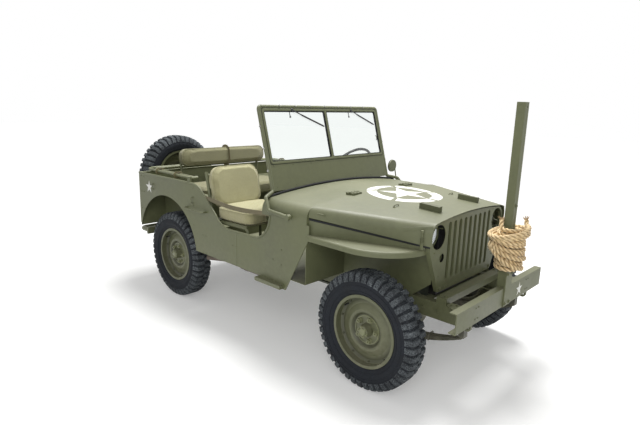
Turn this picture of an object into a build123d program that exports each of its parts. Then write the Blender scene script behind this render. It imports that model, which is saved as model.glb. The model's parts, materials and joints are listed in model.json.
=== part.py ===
"""Open army 4x4 car: ladder frame, open tub, folding windscreen, four driven wheels.

Millimetres. +X is forward, +Y is the driver's left, +Z is up. The origin is on the ground
under the middle of the overall length. Places along the car are given from the front axle
and turned into the frame by along().
"""

import math
import os

from build123d import *

# Overall sizes
OVERALL_LENGTH = 3327.0
WHEELBASE = 2032.0
TRACK = 1245.0
BUMPER_FRONT = 527.0
CUTTER_PLATE = 8.0
FRONT_AXLE_X = OVERALL_LENGTH / 2 - BUMPER_FRONT - CUTTER_PLATE
SHEET = 3.0
RUN_GAP = 0.3
PANEL_GAP = 5.0

# Wheels and tyres
TYRE_RADIUS = 358.0
TYRE_WIDTH = 158.0
TREAD_WIDTH = 118.0
BEAD_RADIUS = 208.0
BEAD_WIDTH = 112.0
FLANGE_RADIUS = 221.0
DISC_THICK = 5.0
STUD_CIRCLE = 139.7
STUD_RADIUS = 9.0
STUD_COUNT = 5
HUB_RADIUS = 42.0
DRUM_RADIUS = 122.0
SPINDLE_RADIUS = 22.0
AXLE_Z = TYRE_RADIUS

# Frame
RAIL_OUT = 371.0
RAIL_WIDTH = 50.0
RAIL_TOP = 540.0
RAIL_BOTTOM = 440.0
RAIL_WALL = 5.0
BUMPER_HALF = 578.0
BUMPER_TOP = 604.0
BUMPER_BOTTOM = 485.0
BUMPER_DEPTH = 44.0
BUMPER_WALL = 6.0

CROSS_LENGTH = 64.0
CROSS_X = 318.0

# Tub
BODY_HALF = 740.0
TAIL_X = -2478.0
COWL_FRONT_X = -420.0
COWL_REAR_X = -830.0
SILL_Z = 495.0
TUB_TOP_Z = 1020.0
SHOULDER_Z = 925.0
COWL_SIDE_Z = 1034.0
COWL_CROWN_Z = 1076.0
SHOULDER_RADIUS = 76.0
TAIL_BOTTOM_Z = 565.0
REAR_FLOOR_Z = 640.0
BOX_INNER = 500.0
BOX_TOP_Z = 885.0
ARCH_X = -WHEELBASE - 13.0
ARCH_Z = 430.0
ARCH_RADIUS = 435.0
REAR_FLOOR_X = ARCH_X + ARCH_RADIUS + 10.0
HANDLE_Z = 826.0
HANDLE_FRONT_X = REAR_FLOOR_X + 130.0
HANDLE_LENGTH = 245.0
MUFFLER_X = REAR_FLOOR_X + 520.0
MUFFLER_LENGTH = 420.0
MUFFLER_RADIUS = 62.0
PIPE_RADIUS = 21.0

# Front sheet metal
GRILLE_X = 267.0
GRILLE_HALF = 456.0
GRILLE_LOW_HALF = 335.0
GRILLE_BOTTOM_Z = 588.0
GRILLE_WAIST_Z = 850.0
GRILLE_SIDE_Z = 1006.0
GRILLE_CROWN_Z = 1030.0
GRILLE_CORNER = 40.0
LAMP_Y = GRILLE_HALF - 86.0
SMALL_LAMP_Y = LAMP_Y - 50.0
SMALL_LAMP_Z = 795.0
SMALL_LAMP_HOLE = 26.0
LAMP_Z = 928.0
LAMP_HOLE = 72.0
SLOT_COUNT = 9
SLOT_PITCH = 62.5
SLOT_WIDTH = 33.0
SLOT_LENGTH = 357.0
SLOT_Z = 823.0
SLOT_RETURN = 14.0
SLOT_WALL = 2.5
HOOD_REAR_HALF = BODY_HALF - 13.0
HOOD_REAR_X = COWL_FRONT_X + PANEL_GAP
HOOD_FRONT_X = GRILLE_X + 14.0
BLOCK_X = 122.0
BLOCK_Y = 236.0
BLOCK_LENGTH = 136.0
BLOCK_SIDE = 34.0
BLOCK_SEAT = 0.25
FENDER_HALF = BODY_HALF + 18.0
FENDER_Z = 868.0
FENDER_LIP = 34.0
FENDER_ROUND = 16.0
APRON_Y = RAIL_OUT + 5.0

# Hood hinge
HINGE_X = COWL_FRONT_X + 2.5
HINGE_Y = 300.0
HINGE_Z = 1081.0
HINGE_RADIUS = 6.0
HINGE_LENGTH = 90.0

# Windscreen
SCREEN_HALF = 640.0
SCREEN_TUBE = 12.5
SCREEN_BASE_X = -838.0
SCREEN_BASE_Z = 1062.0
SCREEN_TOP_X = -997.0
SCREEN_TOP_Z = 1614.0
SCREEN_ARM_Y = BODY_HALF + 22.0
PIVOT_X = -560.0
PIVOT_Z = 952.0
PIN_RADIUS = 8.0

# Folded top bows
BOW_X = -1700.0
BOW_Z = 1048.0
BOW_PIN = 7.0
BOW_HALF = BODY_HALF - 35.0

# Steering
KING_PIN_Y = 545.0
KING_PIN_RADIUS = 12.0
YOKE_GAP = 65.0
STEERING_WHEEL_AT = (-1070.0, 430.0, 1105.0)
STEERING_BOX_AT = (-240.0, 330.0, 588.0)
STEERING_WHEEL_RADIUS = 221.0


def along(x):
    """Place along the car, from the front axle to the frame's origin."""
    return FRONT_AXLE_X + x


STEERING_TOP = (along(STEERING_WHEEL_AT[0]), STEERING_WHEEL_AT[1], STEERING_WHEEL_AT[2])
STEERING_FOOT = (along(STEERING_BOX_AT[0]), STEERING_BOX_AT[1], STEERING_BOX_AT[2])


def keep(part, name):
    """Labels a finished sub-part and writes it."""
    part.label = name
    export_step(part, f"parts/{name}.step")


def rod(start, end, radius):
    """A straight round rod between two points."""
    a, b = Vector(*start), Vector(*end)
    with BuildPart(mode=Mode.PRIVATE) as made:
        with BuildSketch(Plane(origin=a, z_dir=b - a)):
            Circle(radius)
        extrude(amount=(b - a).length)
    return made.part


def bent_tube(points, bend, radius):
    """A round tube along straight runs joined by arcs."""
    with BuildPart(mode=Mode.PRIVATE) as made:
        with BuildLine() as path:
            FilletPolyline(*points, radius=bend)
        with BuildSketch(Plane(origin=path.line @ 0, z_dir=path.line % 0)):
            Circle(radius)
        sweep(path=path.line)
    return made.part


os.makedirs("parts", exist_ok=True)

# Frame: two channel rails with cross members
with BuildPart() as frame:
    rail_front = along(BUMPER_FRONT - BUMPER_DEPTH)
    rail_rear = along(TAIL_X + 23)
    rail_mid_y = RAIL_OUT - RAIL_WIDTH / 2
    rail_mid_z = (RAIL_TOP + RAIL_BOTTOM) / 2
    rail_height = RAIL_TOP - RAIL_BOTTOM
    with BuildSketch(Plane.YZ.offset(rail_rear)):
        for side in (-1, 1):
            with Locations((side * rail_mid_y, rail_mid_z)):
                Rectangle(RAIL_WIDTH, rail_height)
            with Locations((side * (rail_mid_y - RAIL_WALL), rail_mid_z)):
                Rectangle(RAIL_WIDTH, rail_height - 2 * RAIL_WALL, mode=Mode.SUBTRACT)
    extrude(amount=rail_front - rail_rear)
    # Cross members: place from the front axle, length along X, height
    for x, length, height in ((195, 50, 70), (-910, 90, 60), (-1480, 60, 70), (-2430, 40, 90)):
        with Locations((along(x), 0, rail_mid_z)):
            Box(length, 2 * (RAIL_OUT - RAIL_WALL), height)
    with Locations((along(CROSS_X), 0, RAIL_TOP + 20)):
        Box(CROSS_LENGTH, 2 * RAIL_OUT, 40)
    # Body outriggers that carry the sills
    for x in (-760, -1330):
        for side in (-1, 1):
            with Locations((along(x), side * (RAIL_OUT + BODY_HALF - 10) / 2, RAIL_TOP - 25)):
                Box(50, BODY_HALF - RAIL_OUT, 50)
keep(frame.part, "frame")

# Front bumper: a channel with two gussets back to the rails
with BuildPart() as front_bumper:
    bumper_mid_z = (BUMPER_TOP + BUMPER_BOTTOM) / 2
    bumper_height = BUMPER_TOP - BUMPER_BOTTOM
    with Locations((along(BUMPER_FRONT) - BUMPER_DEPTH / 2, 0, bumper_mid_z)):
        Box(BUMPER_DEPTH, 2 * BUMPER_HALF, bumper_height)
    with Locations((along(BUMPER_FRONT) - BUMPER_DEPTH / 2 - BUMPER_WALL, 0, bumper_mid_z)):
        Box(BUMPER_DEPTH, 2 * BUMPER_HALF + 2, bumper_height - 2 * BUMPER_WALL, mode=Mode.SUBTRACT)
    # Gusset plates on top of the rails, each a taper from the rail out to the bumper
    with BuildSketch(Plane.XY.offset(RAIL_TOP)):
        for side in (-1, 1):
            with BuildLine():
                Polyline(
                    (along(BUMPER_FRONT - BUMPER_WALL), side * (RAIL_OUT - RAIL_WIDTH)),
                    (along(BUMPER_FRONT - BUMPER_WALL), side * (RAIL_OUT + 110)),
                    (along(CROSS_X + CROSS_LENGTH / 2 + PANEL_GAP), side * RAIL_OUT),
                    (along(CROSS_X + CROSS_LENGTH / 2 + PANEL_GAP), side * (RAIL_OUT - RAIL_WIDTH)),
                    close=True,
                )
            make_face()
    extrude(amount=BUMPER_WALL)
    # Tow shackle lugs under the bumper, one below each rail
    lug_z = BUMPER_BOTTOM - 24
    with BuildSketch(Plane.XZ.offset(-RAIL_OUT - RUN_GAP - 18)):
        with Locations((along(BUMPER_FRONT - 30), lug_z)):
            Circle(22)
        with Locations((along(BUMPER_FRONT - 30), lug_z + 15)):
            Rectangle(44, 30)
        with Locations((along(BUMPER_FRONT - 30), lug_z)):
            Circle(10, mode=Mode.SUBTRACT)
    extrude(amount=18)
    mirror(about=Plane.XZ)
keep(front_bumper.part, "front_bumper")

# Wire cutter: an angle post bolted to the bumper
CUTTER_TOP = 1690.0
CUTTER_LEG = 50.0
CUTTER_WALL = 6.0
with BuildPart() as wire_cutter:
    with Locations((along(BUMPER_FRONT) + CUTTER_PLATE / 2, 28, 600)):
        Box(CUTTER_PLATE, 80, 226)
    with BuildSketch(Plane.XY.offset(BUMPER_TOP)):
        with Locations((along(BUMPER_FRONT) - CUTTER_WALL / 2, 25)):
            Rectangle(CUTTER_WALL, CUTTER_LEG)
        with Locations((along(BUMPER_FRONT) - CUTTER_LEG / 2, CUTTER_WALL / 2)):
            Rectangle(CUTTER_LEG, CUTTER_WALL)
    extrude(amount=CUTTER_TOP - BUMPER_TOP)
    with Locations((along(BUMPER_FRONT) - 20, 25, CUTTER_TOP - 28)):
        Cylinder(6, 60, rotation=(0, 90, 0), mode=Mode.SUBTRACT)
keep(wire_cutter.part, "wire_cutter")

# Rope hank tied round the post: one closed solid with the post's slot through it
HANK_LOW = 700.0
HANK_TOP = 1000.0
POST_MID_X = BUMPER_FRONT - (CUTTER_LEG - CUTTER_PLATE) / 2
POST_MID_Y = 28.0
# Sections from the foot up: height, half size along X, half size along Y
HANK_ROWS = (
    (HANK_LOW, 72.0, 83.0), (738.0, 94.0, 105.0), (850.0, 98.0, 109.0), (890.0, 110.0, 121.0),
    (962.0, 108.0, 119.0), (HANK_TOP, 74.0, 86.0),
)
with BuildPart() as rope_hank:
    for row_z, half_x, half_y in HANK_ROWS:
        with BuildSketch(Plane.XY.offset(row_z)):
            with Locations((along(POST_MID_X), POST_MID_Y)):
                Ellipse(half_x, half_y)
    loft(ruled=True)
    # The post and its plate pass through
    with Locations((along(POST_MID_X), POST_MID_Y, (HANK_LOW + HANK_TOP) / 2)):
        Box(
            CUTTER_LEG + CUTTER_PLATE + 2 * RUN_GAP, 80 + 2 * RUN_GAP, HANK_TOP - HANK_LOW + 2,
            mode=Mode.SUBTRACT,
        )
keep(rope_hank.part, "rope_hank")

# Wheels: one disc wheel and tyre profile serves four corners and the spare
TYRE_POINTS = {
    "bead": BEAD_WIDTH / 2 - RUN_GAP,
    "bulge": TYRE_WIDTH / 2,
    "shoulder": TREAD_WIDTH / 2 + 8,
}


def tyre_at(x, y, z):
    """A tyre whose axle runs along Y."""
    with BuildPart() as made:
        with BuildSketch(Plane.XY):
            with BuildLine():
                for side in (-1, 1):
                    bead = (side * TYRE_POINTS["bead"], BEAD_RADIUS + RUN_GAP)
                    wall = (side * TYRE_POINTS["bead"], FLANGE_RADIUS + 3)
                    bulge = (side * TYRE_POINTS["bulge"], (BEAD_RADIUS + TYRE_RADIUS) / 2)
                    shoulder = (side * TYRE_POINTS["shoulder"], TYRE_RADIUS - 14)
                    Line(bead, wall)
                    ThreePointArc(wall, bulge, shoulder)
                    Line(shoulder, (side * TREAD_WIDTH / 2, TYRE_RADIUS))
                Line((-TREAD_WIDTH / 2, TYRE_RADIUS), (TREAD_WIDTH / 2, TYRE_RADIUS))
                bead = TYRE_POINTS["bead"]
                Line((-bead, BEAD_RADIUS + RUN_GAP), (bead, BEAD_RADIUS + RUN_GAP))
            make_face()
        revolve(axis=Axis.X)
    return Pos(x, y, z) * (Rot(0, 0, 90) * made.part)


def wheel_at(x, y, z, outward, drum):
    """A pressed disc wheel with its hub, facing +Y or -Y. drum adds the brake drum behind it."""
    with BuildPart() as made:
        # Rim and disc, along the axle (out is +X) against radius
        with BuildSketch(Plane.XY):
            with BuildLine():
                Polyline(
                    (61, FLANGE_RADIUS), (56, FLANGE_RADIUS), (56, BEAD_RADIUS), (-56, BEAD_RADIUS),
                    (-56, FLANGE_RADIUS), (-61, FLANGE_RADIUS), (-61, BEAD_RADIUS - DISC_THICK),
                    (8, BEAD_RADIUS - DISC_THICK), (2, 184), (7, 156), (24, 122), (24, 110),
                    (9, 97), (9, 26), (14, 26), (14, 94), (30, 108), (30, 125), (12, 160), (8, 186),
                    (18, BEAD_RADIUS - DISC_THICK),
                    (61, BEAD_RADIUS - DISC_THICK), close=True,
                )
            make_face()
        revolve(axis=Axis.X)
        # Hub and its cap
        with BuildSketch(Plane.YZ.offset(-6)):
            Circle(86)
        extrude(amount=20)
        with BuildSketch(Plane.YZ.offset(14)):
            Circle(HUB_RADIUS)
        extrude(amount=46, taper=6)
        with BuildSketch(Plane.YZ.offset(13)):
            with PolarLocations(STUD_CIRCLE / 2, STUD_COUNT):
                RegularPolygon(STUD_RADIUS + 2, 6)
        extrude(amount=16)
        if drum:
            with BuildSketch(Plane.YZ.offset(-66)):
                Circle(DRUM_RADIUS)
                Circle(DRUM_RADIUS - 8, mode=Mode.SUBTRACT)
            extrude(amount=66)
            with BuildSketch(Plane.YZ.offset(-8)):
                Circle(DRUM_RADIUS)
            extrude(amount=8)
            with BuildSketch(Plane.YZ.offset(-36)):
                Circle(HUB_RADIUS)
            extrude(amount=36)
            with BuildSketch(Plane.YZ.offset(-61)):
                Circle(SPINDLE_RADIUS + RUN_GAP)
            extrude(amount=91, mode=Mode.SUBTRACT)
    return Pos(x, y, z) * (Rot(0, 0, 90 * outward) * made.part)


CORNERS = (
    ("front_left", 0.0, 1),
    ("front_right", 0.0, -1),
    ("rear_left", -WHEELBASE, 1),
    ("rear_right", -WHEELBASE, -1),
)
for corner, x, side in CORNERS:
    keep(tyre_at(along(x), side * TRACK / 2, AXLE_Z), f"tyre_{corner}")
    keep(wheel_at(along(x), side * TRACK / 2, AXLE_Z, side, True), f"wheel_{corner}")

# Spare wheel on the tail, right of the middle
SPARE_X = TAIL_X - 104
SPARE_Y = -300.0
SPARE_Z = 952.0
spare_turn = Rot(0, 0, 90)
spare_tyre = Pos(along(SPARE_X), SPARE_Y, SPARE_Z) * spare_turn * tyre_at(0, 0, 0)
spare_wheel = Pos(along(SPARE_X), SPARE_Y, SPARE_Z) * spare_turn * wheel_at(0, 0, 0, 1, False)
keep(spare_tyre, "spare_tyre")
with BuildPart() as spare:
    add(spare_wheel)
    # Carrier cone that seats the wheel on the tail panel
    with BuildSketch(Plane.YZ.offset(along(TAIL_X) - RUN_GAP)):
        with Locations((SPARE_Y, SPARE_Z)):
            Circle(70)
    extrude(amount=SPARE_X - TAIL_X - 10, taper=4)
keep(spare.part, "spare_wheel")

# Axles
DIFF_Y = -190.0
TUBE_RADIUS = 36.0
with BuildPart() as front_axle:
    with Locations((along(0), 0, AXLE_Z)):
        Cylinder(TUBE_RADIUS, 2 * (KING_PIN_Y - 66), rotation=(90, 0, 0))
    with Locations((along(0), DIFF_Y, AXLE_Z)):
        Sphere(112)
        Cylinder(118, 60, rotation=(0, 90, 0))
    with Locations((along(-110), DIFF_Y, AXLE_Z + 10)):
        Cylinder(42, 130, rotation=(0, 90, 0))
    # Yokes that hold the king pins
    for side in (-1, 1):
        with Locations((along(0), side * (KING_PIN_Y - 60), AXLE_Z)):
            Box(60, 20, 176)
        for dz in (-YOKE_GAP - 11, YOKE_GAP + 11):
            with Locations((along(0), side * (KING_PIN_Y - 20), AXLE_Z + dz)):
                Box(60, 90, 22)
        with Locations((along(0), side * KING_PIN_Y, AXLE_Z)):
            Cylinder(KING_PIN_RADIUS + RUN_GAP, 200, mode=Mode.SUBTRACT)
keep(front_axle.part, "front_axle")

with BuildPart() as rear_axle:
    with Locations((along(-WHEELBASE), 0, AXLE_Z)):
        Cylinder(TUBE_RADIUS, 2 * (TRACK / 2 - 74), rotation=(90, 0, 0))
        Cylinder(SPINDLE_RADIUS, TRACK + 20, rotation=(90, 0, 0))
    with Locations((along(-WHEELBASE), DIFF_Y, AXLE_Z)):
        Sphere(112)
        Cylinder(118, 60, rotation=(0, 90, 0))
    with Locations((along(-WHEELBASE + 110), DIFF_Y, AXLE_Z + 10)):
        Cylinder(42, 130, rotation=(0, 90, 0))
    for side in (-1, 1):
        with Locations((along(-WHEELBASE), side * (TRACK / 2 - 78), AXLE_Z)):
            Cylinder(DRUM_RADIUS, 6, rotation=(90, 0, 0))
keep(rear_axle.part, "rear_axle")

# Leaf springs under the axles, each with its hangers
SPRING_HALF = 460.0
SPRING_WIDTH = 44.0
SPRING_Y = RAIL_OUT - 25
with BuildPart() as leaf_springs:
    for axle_x in (0.0, -WHEELBASE):
        low_z = AXLE_Z - TUBE_RADIUS - 20
        end_z = RAIL_BOTTOM - 60
        for side in (-1, 1):
            with BuildSketch(Plane.XZ.offset(-side * SPRING_Y - SPRING_WIDTH / 2)):
                with BuildLine():
                    ThreePointArc(
                        (along(axle_x - SPRING_HALF), end_z),
                        (along(axle_x), low_z),
                        (along(axle_x + SPRING_HALF), end_z),
                    )
                    Line((along(axle_x + SPRING_HALF), end_z), (along(axle_x + SPRING_HALF), end_z - 10))
                    ThreePointArc(
                        (along(axle_x + SPRING_HALF), end_z - 10),
                        (along(axle_x), low_z - 38),
                        (along(axle_x - SPRING_HALF), end_z - 10),
                    )
                    Line((along(axle_x - SPRING_HALF), end_z - 10), (along(axle_x - SPRING_HALF), end_z))
                make_face()
            extrude(amount=SPRING_WIDTH)
            for end in (-1, 1):
                with Locations((along(axle_x + end * (SPRING_HALF - 4)), side * SPRING_Y, end_z + 29)):
                    Box(34, SPRING_WIDTH, 62)
            with Locations((along(axle_x), side * SPRING_Y, AXLE_Z - TUBE_RADIUS - 12)):
                Box(70, SPRING_WIDTH + 16, 24)
keep(leaf_springs.part, "leaf_springs")

# Steering knuckles: a barrel on the king pin, the spindle and the steering arm
ARM_X = -120.0
for name, side in (("left", 1), ("right", -1)):
    with BuildPart() as knuckle:
        with Locations((along(0), side * KING_PIN_Y, AXLE_Z)):
            Cylinder(32, 2 * (YOKE_GAP - RUN_GAP))
            Cylinder(KING_PIN_RADIUS, 2 * YOKE_GAP + 46)
        with BuildSketch(Plane.XZ.offset(-side * KING_PIN_Y)):
            with Locations((along(0), AXLE_Z)):
                Circle(SPINDLE_RADIUS)
        extrude(amount=-side * (TRACK / 2 - KING_PIN_Y + 10))
        with Locations((along(ARM_X / 2), side * (KING_PIN_Y - 8), AXLE_Z - 20)):
            Box(abs(ARM_X), 26, 18)
    keep(knuckle.part, f"steering_knuckle_{name}")

# Engine block with the gearbox and transfer case behind it
with BuildPart() as engine:
    with Locations((along(-130), 0, 700)):
        Box(480, 280, 420)
    with Locations((along(-130), 0, 450)):
        Box(420, 130, 90)
    with BuildSketch(Plane.YZ.offset(along(-365))):
        with Locations((0, 452)):
            Circle(80)
    extrude(amount=-150, taper=6)
    with Locations((along(-680), -60, 440)):
        Box(330, 240, 150)
    with Locations((along(-690), -30, 359)):
        Box(330, 420, 12)
keep(engine.part, "engine_and_gearbox")

with BuildPart() as shafts:
    add(rod((along(-510.4), -150, 420), (along(-179.7), DIFF_Y, AXLE_Z + 10), 25))
    add(rod((along(-847.2), -150, 420), (along(-WHEELBASE + 177.2), DIFF_Y, AXLE_Z + 10), 25))
keep(shafts.part, "propeller_shafts")

with BuildPart() as exhaust:
    with Locations((along(MUFFLER_X), -520, 440)):
        Cylinder(MUFFLER_RADIUS, MUFFLER_LENGTH, rotation=(0, 90, 0))
    pipe_x = MUFFLER_X - MUFFLER_LENGTH / 2
    pipe = [(along(pipe_x + 4), -520, 440), (along(pipe_x - 140), -560, 430), (along(pipe_x - 300), -650, 430)]
    add(bent_tube(pipe, 60, PIPE_RADIUS))
    # Hanger up to the outrigger
    with Locations((along(pipe_x - 40), -532, (450 + RAIL_TOP - 50 - RUN_GAP) / 2)):
        Box(20, 24, RAIL_TOP - 50 - RUN_GAP - 450)
keep(exhaust.part, "exhaust")

# Floor: main floor, riser and rear floor
INNER_HALF = BODY_HALF - SHEET
with BuildPart() as floor_pan:
    with BuildSketch(Plane.XZ.offset(-INNER_HALF)):
        with BuildLine():
            Polyline(
                (along(COWL_FRONT_X - SHEET), RAIL_TOP),
                (along(REAR_FLOOR_X), RAIL_TOP),
                (along(REAR_FLOOR_X), REAR_FLOOR_Z),
                (along(TAIL_X + SHEET), REAR_FLOOR_Z),
                (along(TAIL_X + SHEET), REAR_FLOOR_Z + SHEET),
                (along(REAR_FLOOR_X + SHEET), REAR_FLOOR_Z + SHEET),
                (along(REAR_FLOOR_X + SHEET), RAIL_TOP + SHEET),
                (along(COWL_FRONT_X - SHEET), RAIL_TOP + SHEET),
                close=True,
            )
        make_face()
    extrude(amount=2 * INNER_HALF)
    # The wheel boxes stand in the outer corners of the rear floor
    for side in (-1, 1):
        middle = (along((REAR_FLOOR_X + TAIL_X) / 2), side * (BOX_INNER + INNER_HALF) / 2, REAR_FLOOR_Z)
        with Locations(middle):
            Box(REAR_FLOOR_X - TAIL_X + 20, INNER_HALF - BOX_INNER, 400, mode=Mode.SUBTRACT)
keep(floor_pan.part, "floor_pan")

with BuildPart() as wheel_boxes:
    box_x = along((REAR_FLOOR_X + TAIL_X + SHEET) / 2)
    box_length = REAR_FLOOR_X - TAIL_X - SHEET
    box_width = INNER_HALF - BOX_INNER
    box_height = BOX_TOP_Z - RAIL_TOP
    for side in (-1, 1):
        with Locations((box_x, side * (BOX_INNER + box_width / 2), RAIL_TOP + box_height / 2)):
            Box(box_length, box_width, box_height)
        # Open below and towards the body side
        with Locations((box_x, side * (BOX_INNER + SHEET + box_width / 2), RAIL_TOP + box_height / 2 - SHEET)):
            Box(box_length - 2 * SHEET, box_width, box_height, mode=Mode.SUBTRACT)
keep(wheel_boxes.part, "wheel_boxes")


# Body sides: one flat pressing each, from the tail to the front of the cowl
def body_side(side):
    """The side panel with its door cut-out, wheel arch, step, handle and bow bracket."""
    with BuildPart() as made:
        with BuildSketch(Plane.XZ.offset(-side * BODY_HALF if side > 0 else BODY_HALF - SHEET)):
            with BuildLine():
                Polyline(
                    (along(ARCH_X + ARCH_RADIUS - 3), SILL_Z),
                    (along(-868), SILL_Z),
                    (along(-612), 459),
                    (along(-600), 459),
                    (along(-400), 838),
                    (along(-400), SHOULDER_Z),
                    (along(-752), SHOULDER_Z),
                )
                Line((along(-752), SHOULDER_Z), (along(-756), 905))
                ThreePointArc((along(-756), 905), (along(-798), 806), (along(-880), 752))
                Line((along(-880), 752), (along(-1190), 745))
                ThreePointArc((along(-1190), 745), (along(-1288), 770), (along(-1356), 828))
                Line((along(-1356), 828), (along(-1520), 968))
                ThreePointArc((along(-1520), 968), (along(-1580), 1008), (along(-1650), TUB_TOP_Z))
                Line((along(-1650), TUB_TOP_Z), (along(TAIL_X), TUB_TOP_Z - 10))
                Line((along(TAIL_X), TUB_TOP_Z - 10), (along(TAIL_X), TAIL_BOTTOM_Z))
                Line((along(TAIL_X), TAIL_BOTTOM_Z), (along(ARCH_X - 414), TAIL_BOTTOM_Z))
                ThreePointArc(
                    (along(ARCH_X - 414), TAIL_BOTTOM_Z),
                    (along(ARCH_X), ARCH_Z + ARCH_RADIUS),
                    (along(ARCH_X + ARCH_RADIUS - 3), SILL_Z),
                )
            make_face()
        extrude(amount=SHEET)
        # Step below the cowl
        with Locations((along(-735), side * (BODY_HALF + 20), 480)):
            Box(250, 40, 24)
        # Lifting handle behind the door cut-out
        foot_y = side * (BODY_HALF - 2)
        grip_y = side * (BODY_HALF + 40)
        front = along(HANDLE_FRONT_X)
        rear = along(HANDLE_FRONT_X - HANDLE_LENGTH)
        corners = ((rear, foot_y), (rear, grip_y), (front, grip_y), (front, foot_y))
        add(bent_tube([(x, y, HANDLE_Z) for x, y in corners], 18, 7))
        # Bracket and pin that the top bows turn on
        with Locations((along(BOW_X), side * (INNER_HALF - 7.25), BOW_Z - 27)):
            Box(40, 17.5, 86)
        with Locations((along(BOW_X), side * (BOW_HALF - 13), BOW_Z)):
            Cylinder(BOW_PIN, 76, rotation=(90, 0, 0))
    return made.part


keep(body_side(1), "body_side_left")
keep(body_side(-1), "body_side_right")

with BuildPart() as tail_panel:
    with BuildSketch(Plane.YZ.offset(along(TAIL_X))):
        with Locations((0, (TUB_TOP_Z - 10 + TAIL_BOTTOM_Z) / 2)):
            Rectangle(2 * INNER_HALF, TUB_TOP_Z - 10 - TAIL_BOTTOM_Z)
    extrude(amount=SHEET)
keep(tail_panel.part, "tail_panel")


def cowl_section(half, low_z, side_z, crown_z, radius, wall):
    """A closed inverted-U face in YZ: flat sides, round shoulders and a crowned top."""
    with BuildSketch(mode=Mode.PRIVATE) as face:
        with BuildLine():
            for inset in (0.0, wall):
                h = half - inset
                r = radius - inset
                top = side_z - inset
                cut = r * (1 - math.sqrt(0.5))
                Line((-h, low_z), (-h, top - r))
                ThreePointArc((-h, top - r), (-h + cut, top - cut), (-h + r, top))
                ThreePointArc((-h + r, top), (0, crown_z - inset), (h - r, top))
                ThreePointArc((h - r, top), (h - cut, top - cut), (h, top - r))
                Line((h, top - r), (h, low_z))
            Line((-half, low_z), (-half + wall, low_z))
            Line((half, low_z), (half - wall, low_z))
        make_face()
    return face.sketch


def crown_height(share, half, side_z, crown_z, radius):
    """Height of a section's crown at a share of its way from the middle to the shoulder."""
    chord = half - radius
    rise = crown_z - side_z
    arc = (chord ** 2 + rise ** 2) / (2 * rise)
    return crown_z - arc + math.sqrt(arc ** 2 - (share * chord) ** 2)


# Cowl: the crowned top behind the hood, with the firewall under its front edge
with BuildPart() as cowl:
    with BuildSketch(Plane.YZ.offset(along(COWL_REAR_X))):
        add(cowl_section(BODY_HALF, SHOULDER_Z, COWL_SIDE_Z, COWL_CROWN_Z, SHOULDER_RADIUS, SHEET))
    extrude(amount=COWL_FRONT_X - COWL_REAR_X)
    with BuildSketch(Plane.YZ.offset(along(COWL_FRONT_X))):
        with BuildLine():
            h = BODY_HALF - SHEET
            rim = BODY_HALF - 1
            low_z = COWL_SIDE_Z - SHOULDER_RADIUS
            round_r = SHOULDER_RADIUS - 1
            mid = round_r * math.sqrt(0.5)
            centre_y = BODY_HALF - SHOULDER_RADIUS
            Polyline(
                (-rim, low_z), (-rim, SHOULDER_Z), (-h, SHOULDER_Z), (-h, RAIL_TOP + SHEET),
                (h, RAIL_TOP + SHEET), (h, SHOULDER_Z), (rim, SHOULDER_Z), (rim, low_z),
            )
            for turn in (-1, 1):
                ThreePointArc(
                    (turn * rim, low_z),
                    (turn * (centre_y + mid), low_z + mid),
                    (turn * centre_y, low_z + round_r),
                )
            ThreePointArc((-centre_y, low_z + round_r), (0, COWL_CROWN_Z - 1), (centre_y, low_z + round_r))
        make_face()
    extrude(amount=-SHEET)
    # Pins that the windscreen's arms turn on, and fixed hinge leaves behind the hood's barrels
    for side in (-1, 1):
        with Locations((along(PIVOT_X), side * (SCREEN_ARM_Y + BODY_HALF + 10) / 2, PIVOT_Z)):
            Cylinder(PIN_RADIUS, SCREEN_ARM_Y - BODY_HALF + 14, rotation=(90, 0, 0))
        with Locations((along(HINGE_X) - HINGE_RADIUS - RUN_GAP - 14, side * HINGE_Y, 1073)):
            Box(28, HINGE_LENGTH, 16)
    # The steering column passes through the firewall
    add(rod(STEERING_FOOT, STEERING_TOP, 22), mode=Mode.SUBTRACT)
keep(cowl.part, "cowl")

with BuildPart() as instrument_panel:
    panel_x = COWL_REAR_X + 24
    with BuildSketch(Plane.YZ.offset(along(panel_x))):
        with BuildLine():
            ear = BODY_HALF - SHEET - 0.5
            Polyline(
                (-ear + 8.5, 880), (ear - 8.5, 880), (ear - 8.5, 957), (ear, 958), (ear - 16.5, 996),
                (ear - 76.5, 1022), (-ear + 76.5, 1022), (-ear + 16.5, 996), (-ear, 958), (-ear + 8.5, 957),
                close=True,
            )
        make_face()
        with Locations((-300, 945)):
            Rectangle(300, 66, mode=Mode.SUBTRACT)
        # Gauge holes: place along Y, height above the panel's middle, radius
        for y, z, r in ((0, 20, 36), (-70, 38, 22), (-70, -22, 22), (70, 38, 22), (70, -22, 22)):
            with Locations((y, 945 + z)):
                Circle(r, mode=Mode.SUBTRACT)
    extrude(amount=2)
    with BuildSketch(Plane.YZ.offset(along(panel_x) + 2)):
        with Locations((0, 950)):
            Rectangle(220, 120)
    extrude(amount=14)
    # Hollow compartment, open to the rear
    with BuildSketch(Plane.YZ.offset(along(panel_x) + 2)):
        with Locations((-300, 945)):
            Rectangle(306, 72)
            Rectangle(300, 66, mode=Mode.SUBTRACT)
    extrude(amount=150)
    with BuildSketch(Plane.YZ.offset(along(panel_x) + 152)):
        with Locations((-300, 945)):
            Rectangle(306, 72)
    extrude(amount=2)
    # Notch that the steering column rises through
    add(rod(STEERING_FOOT, STEERING_TOP, 24), mode=Mode.SUBTRACT)
    with Locations((along(panel_x), 398, 900)):
        Box(40, 48, 60, mode=Mode.SUBTRACT)
keep(instrument_panel.part, "instrument_panel")

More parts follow.
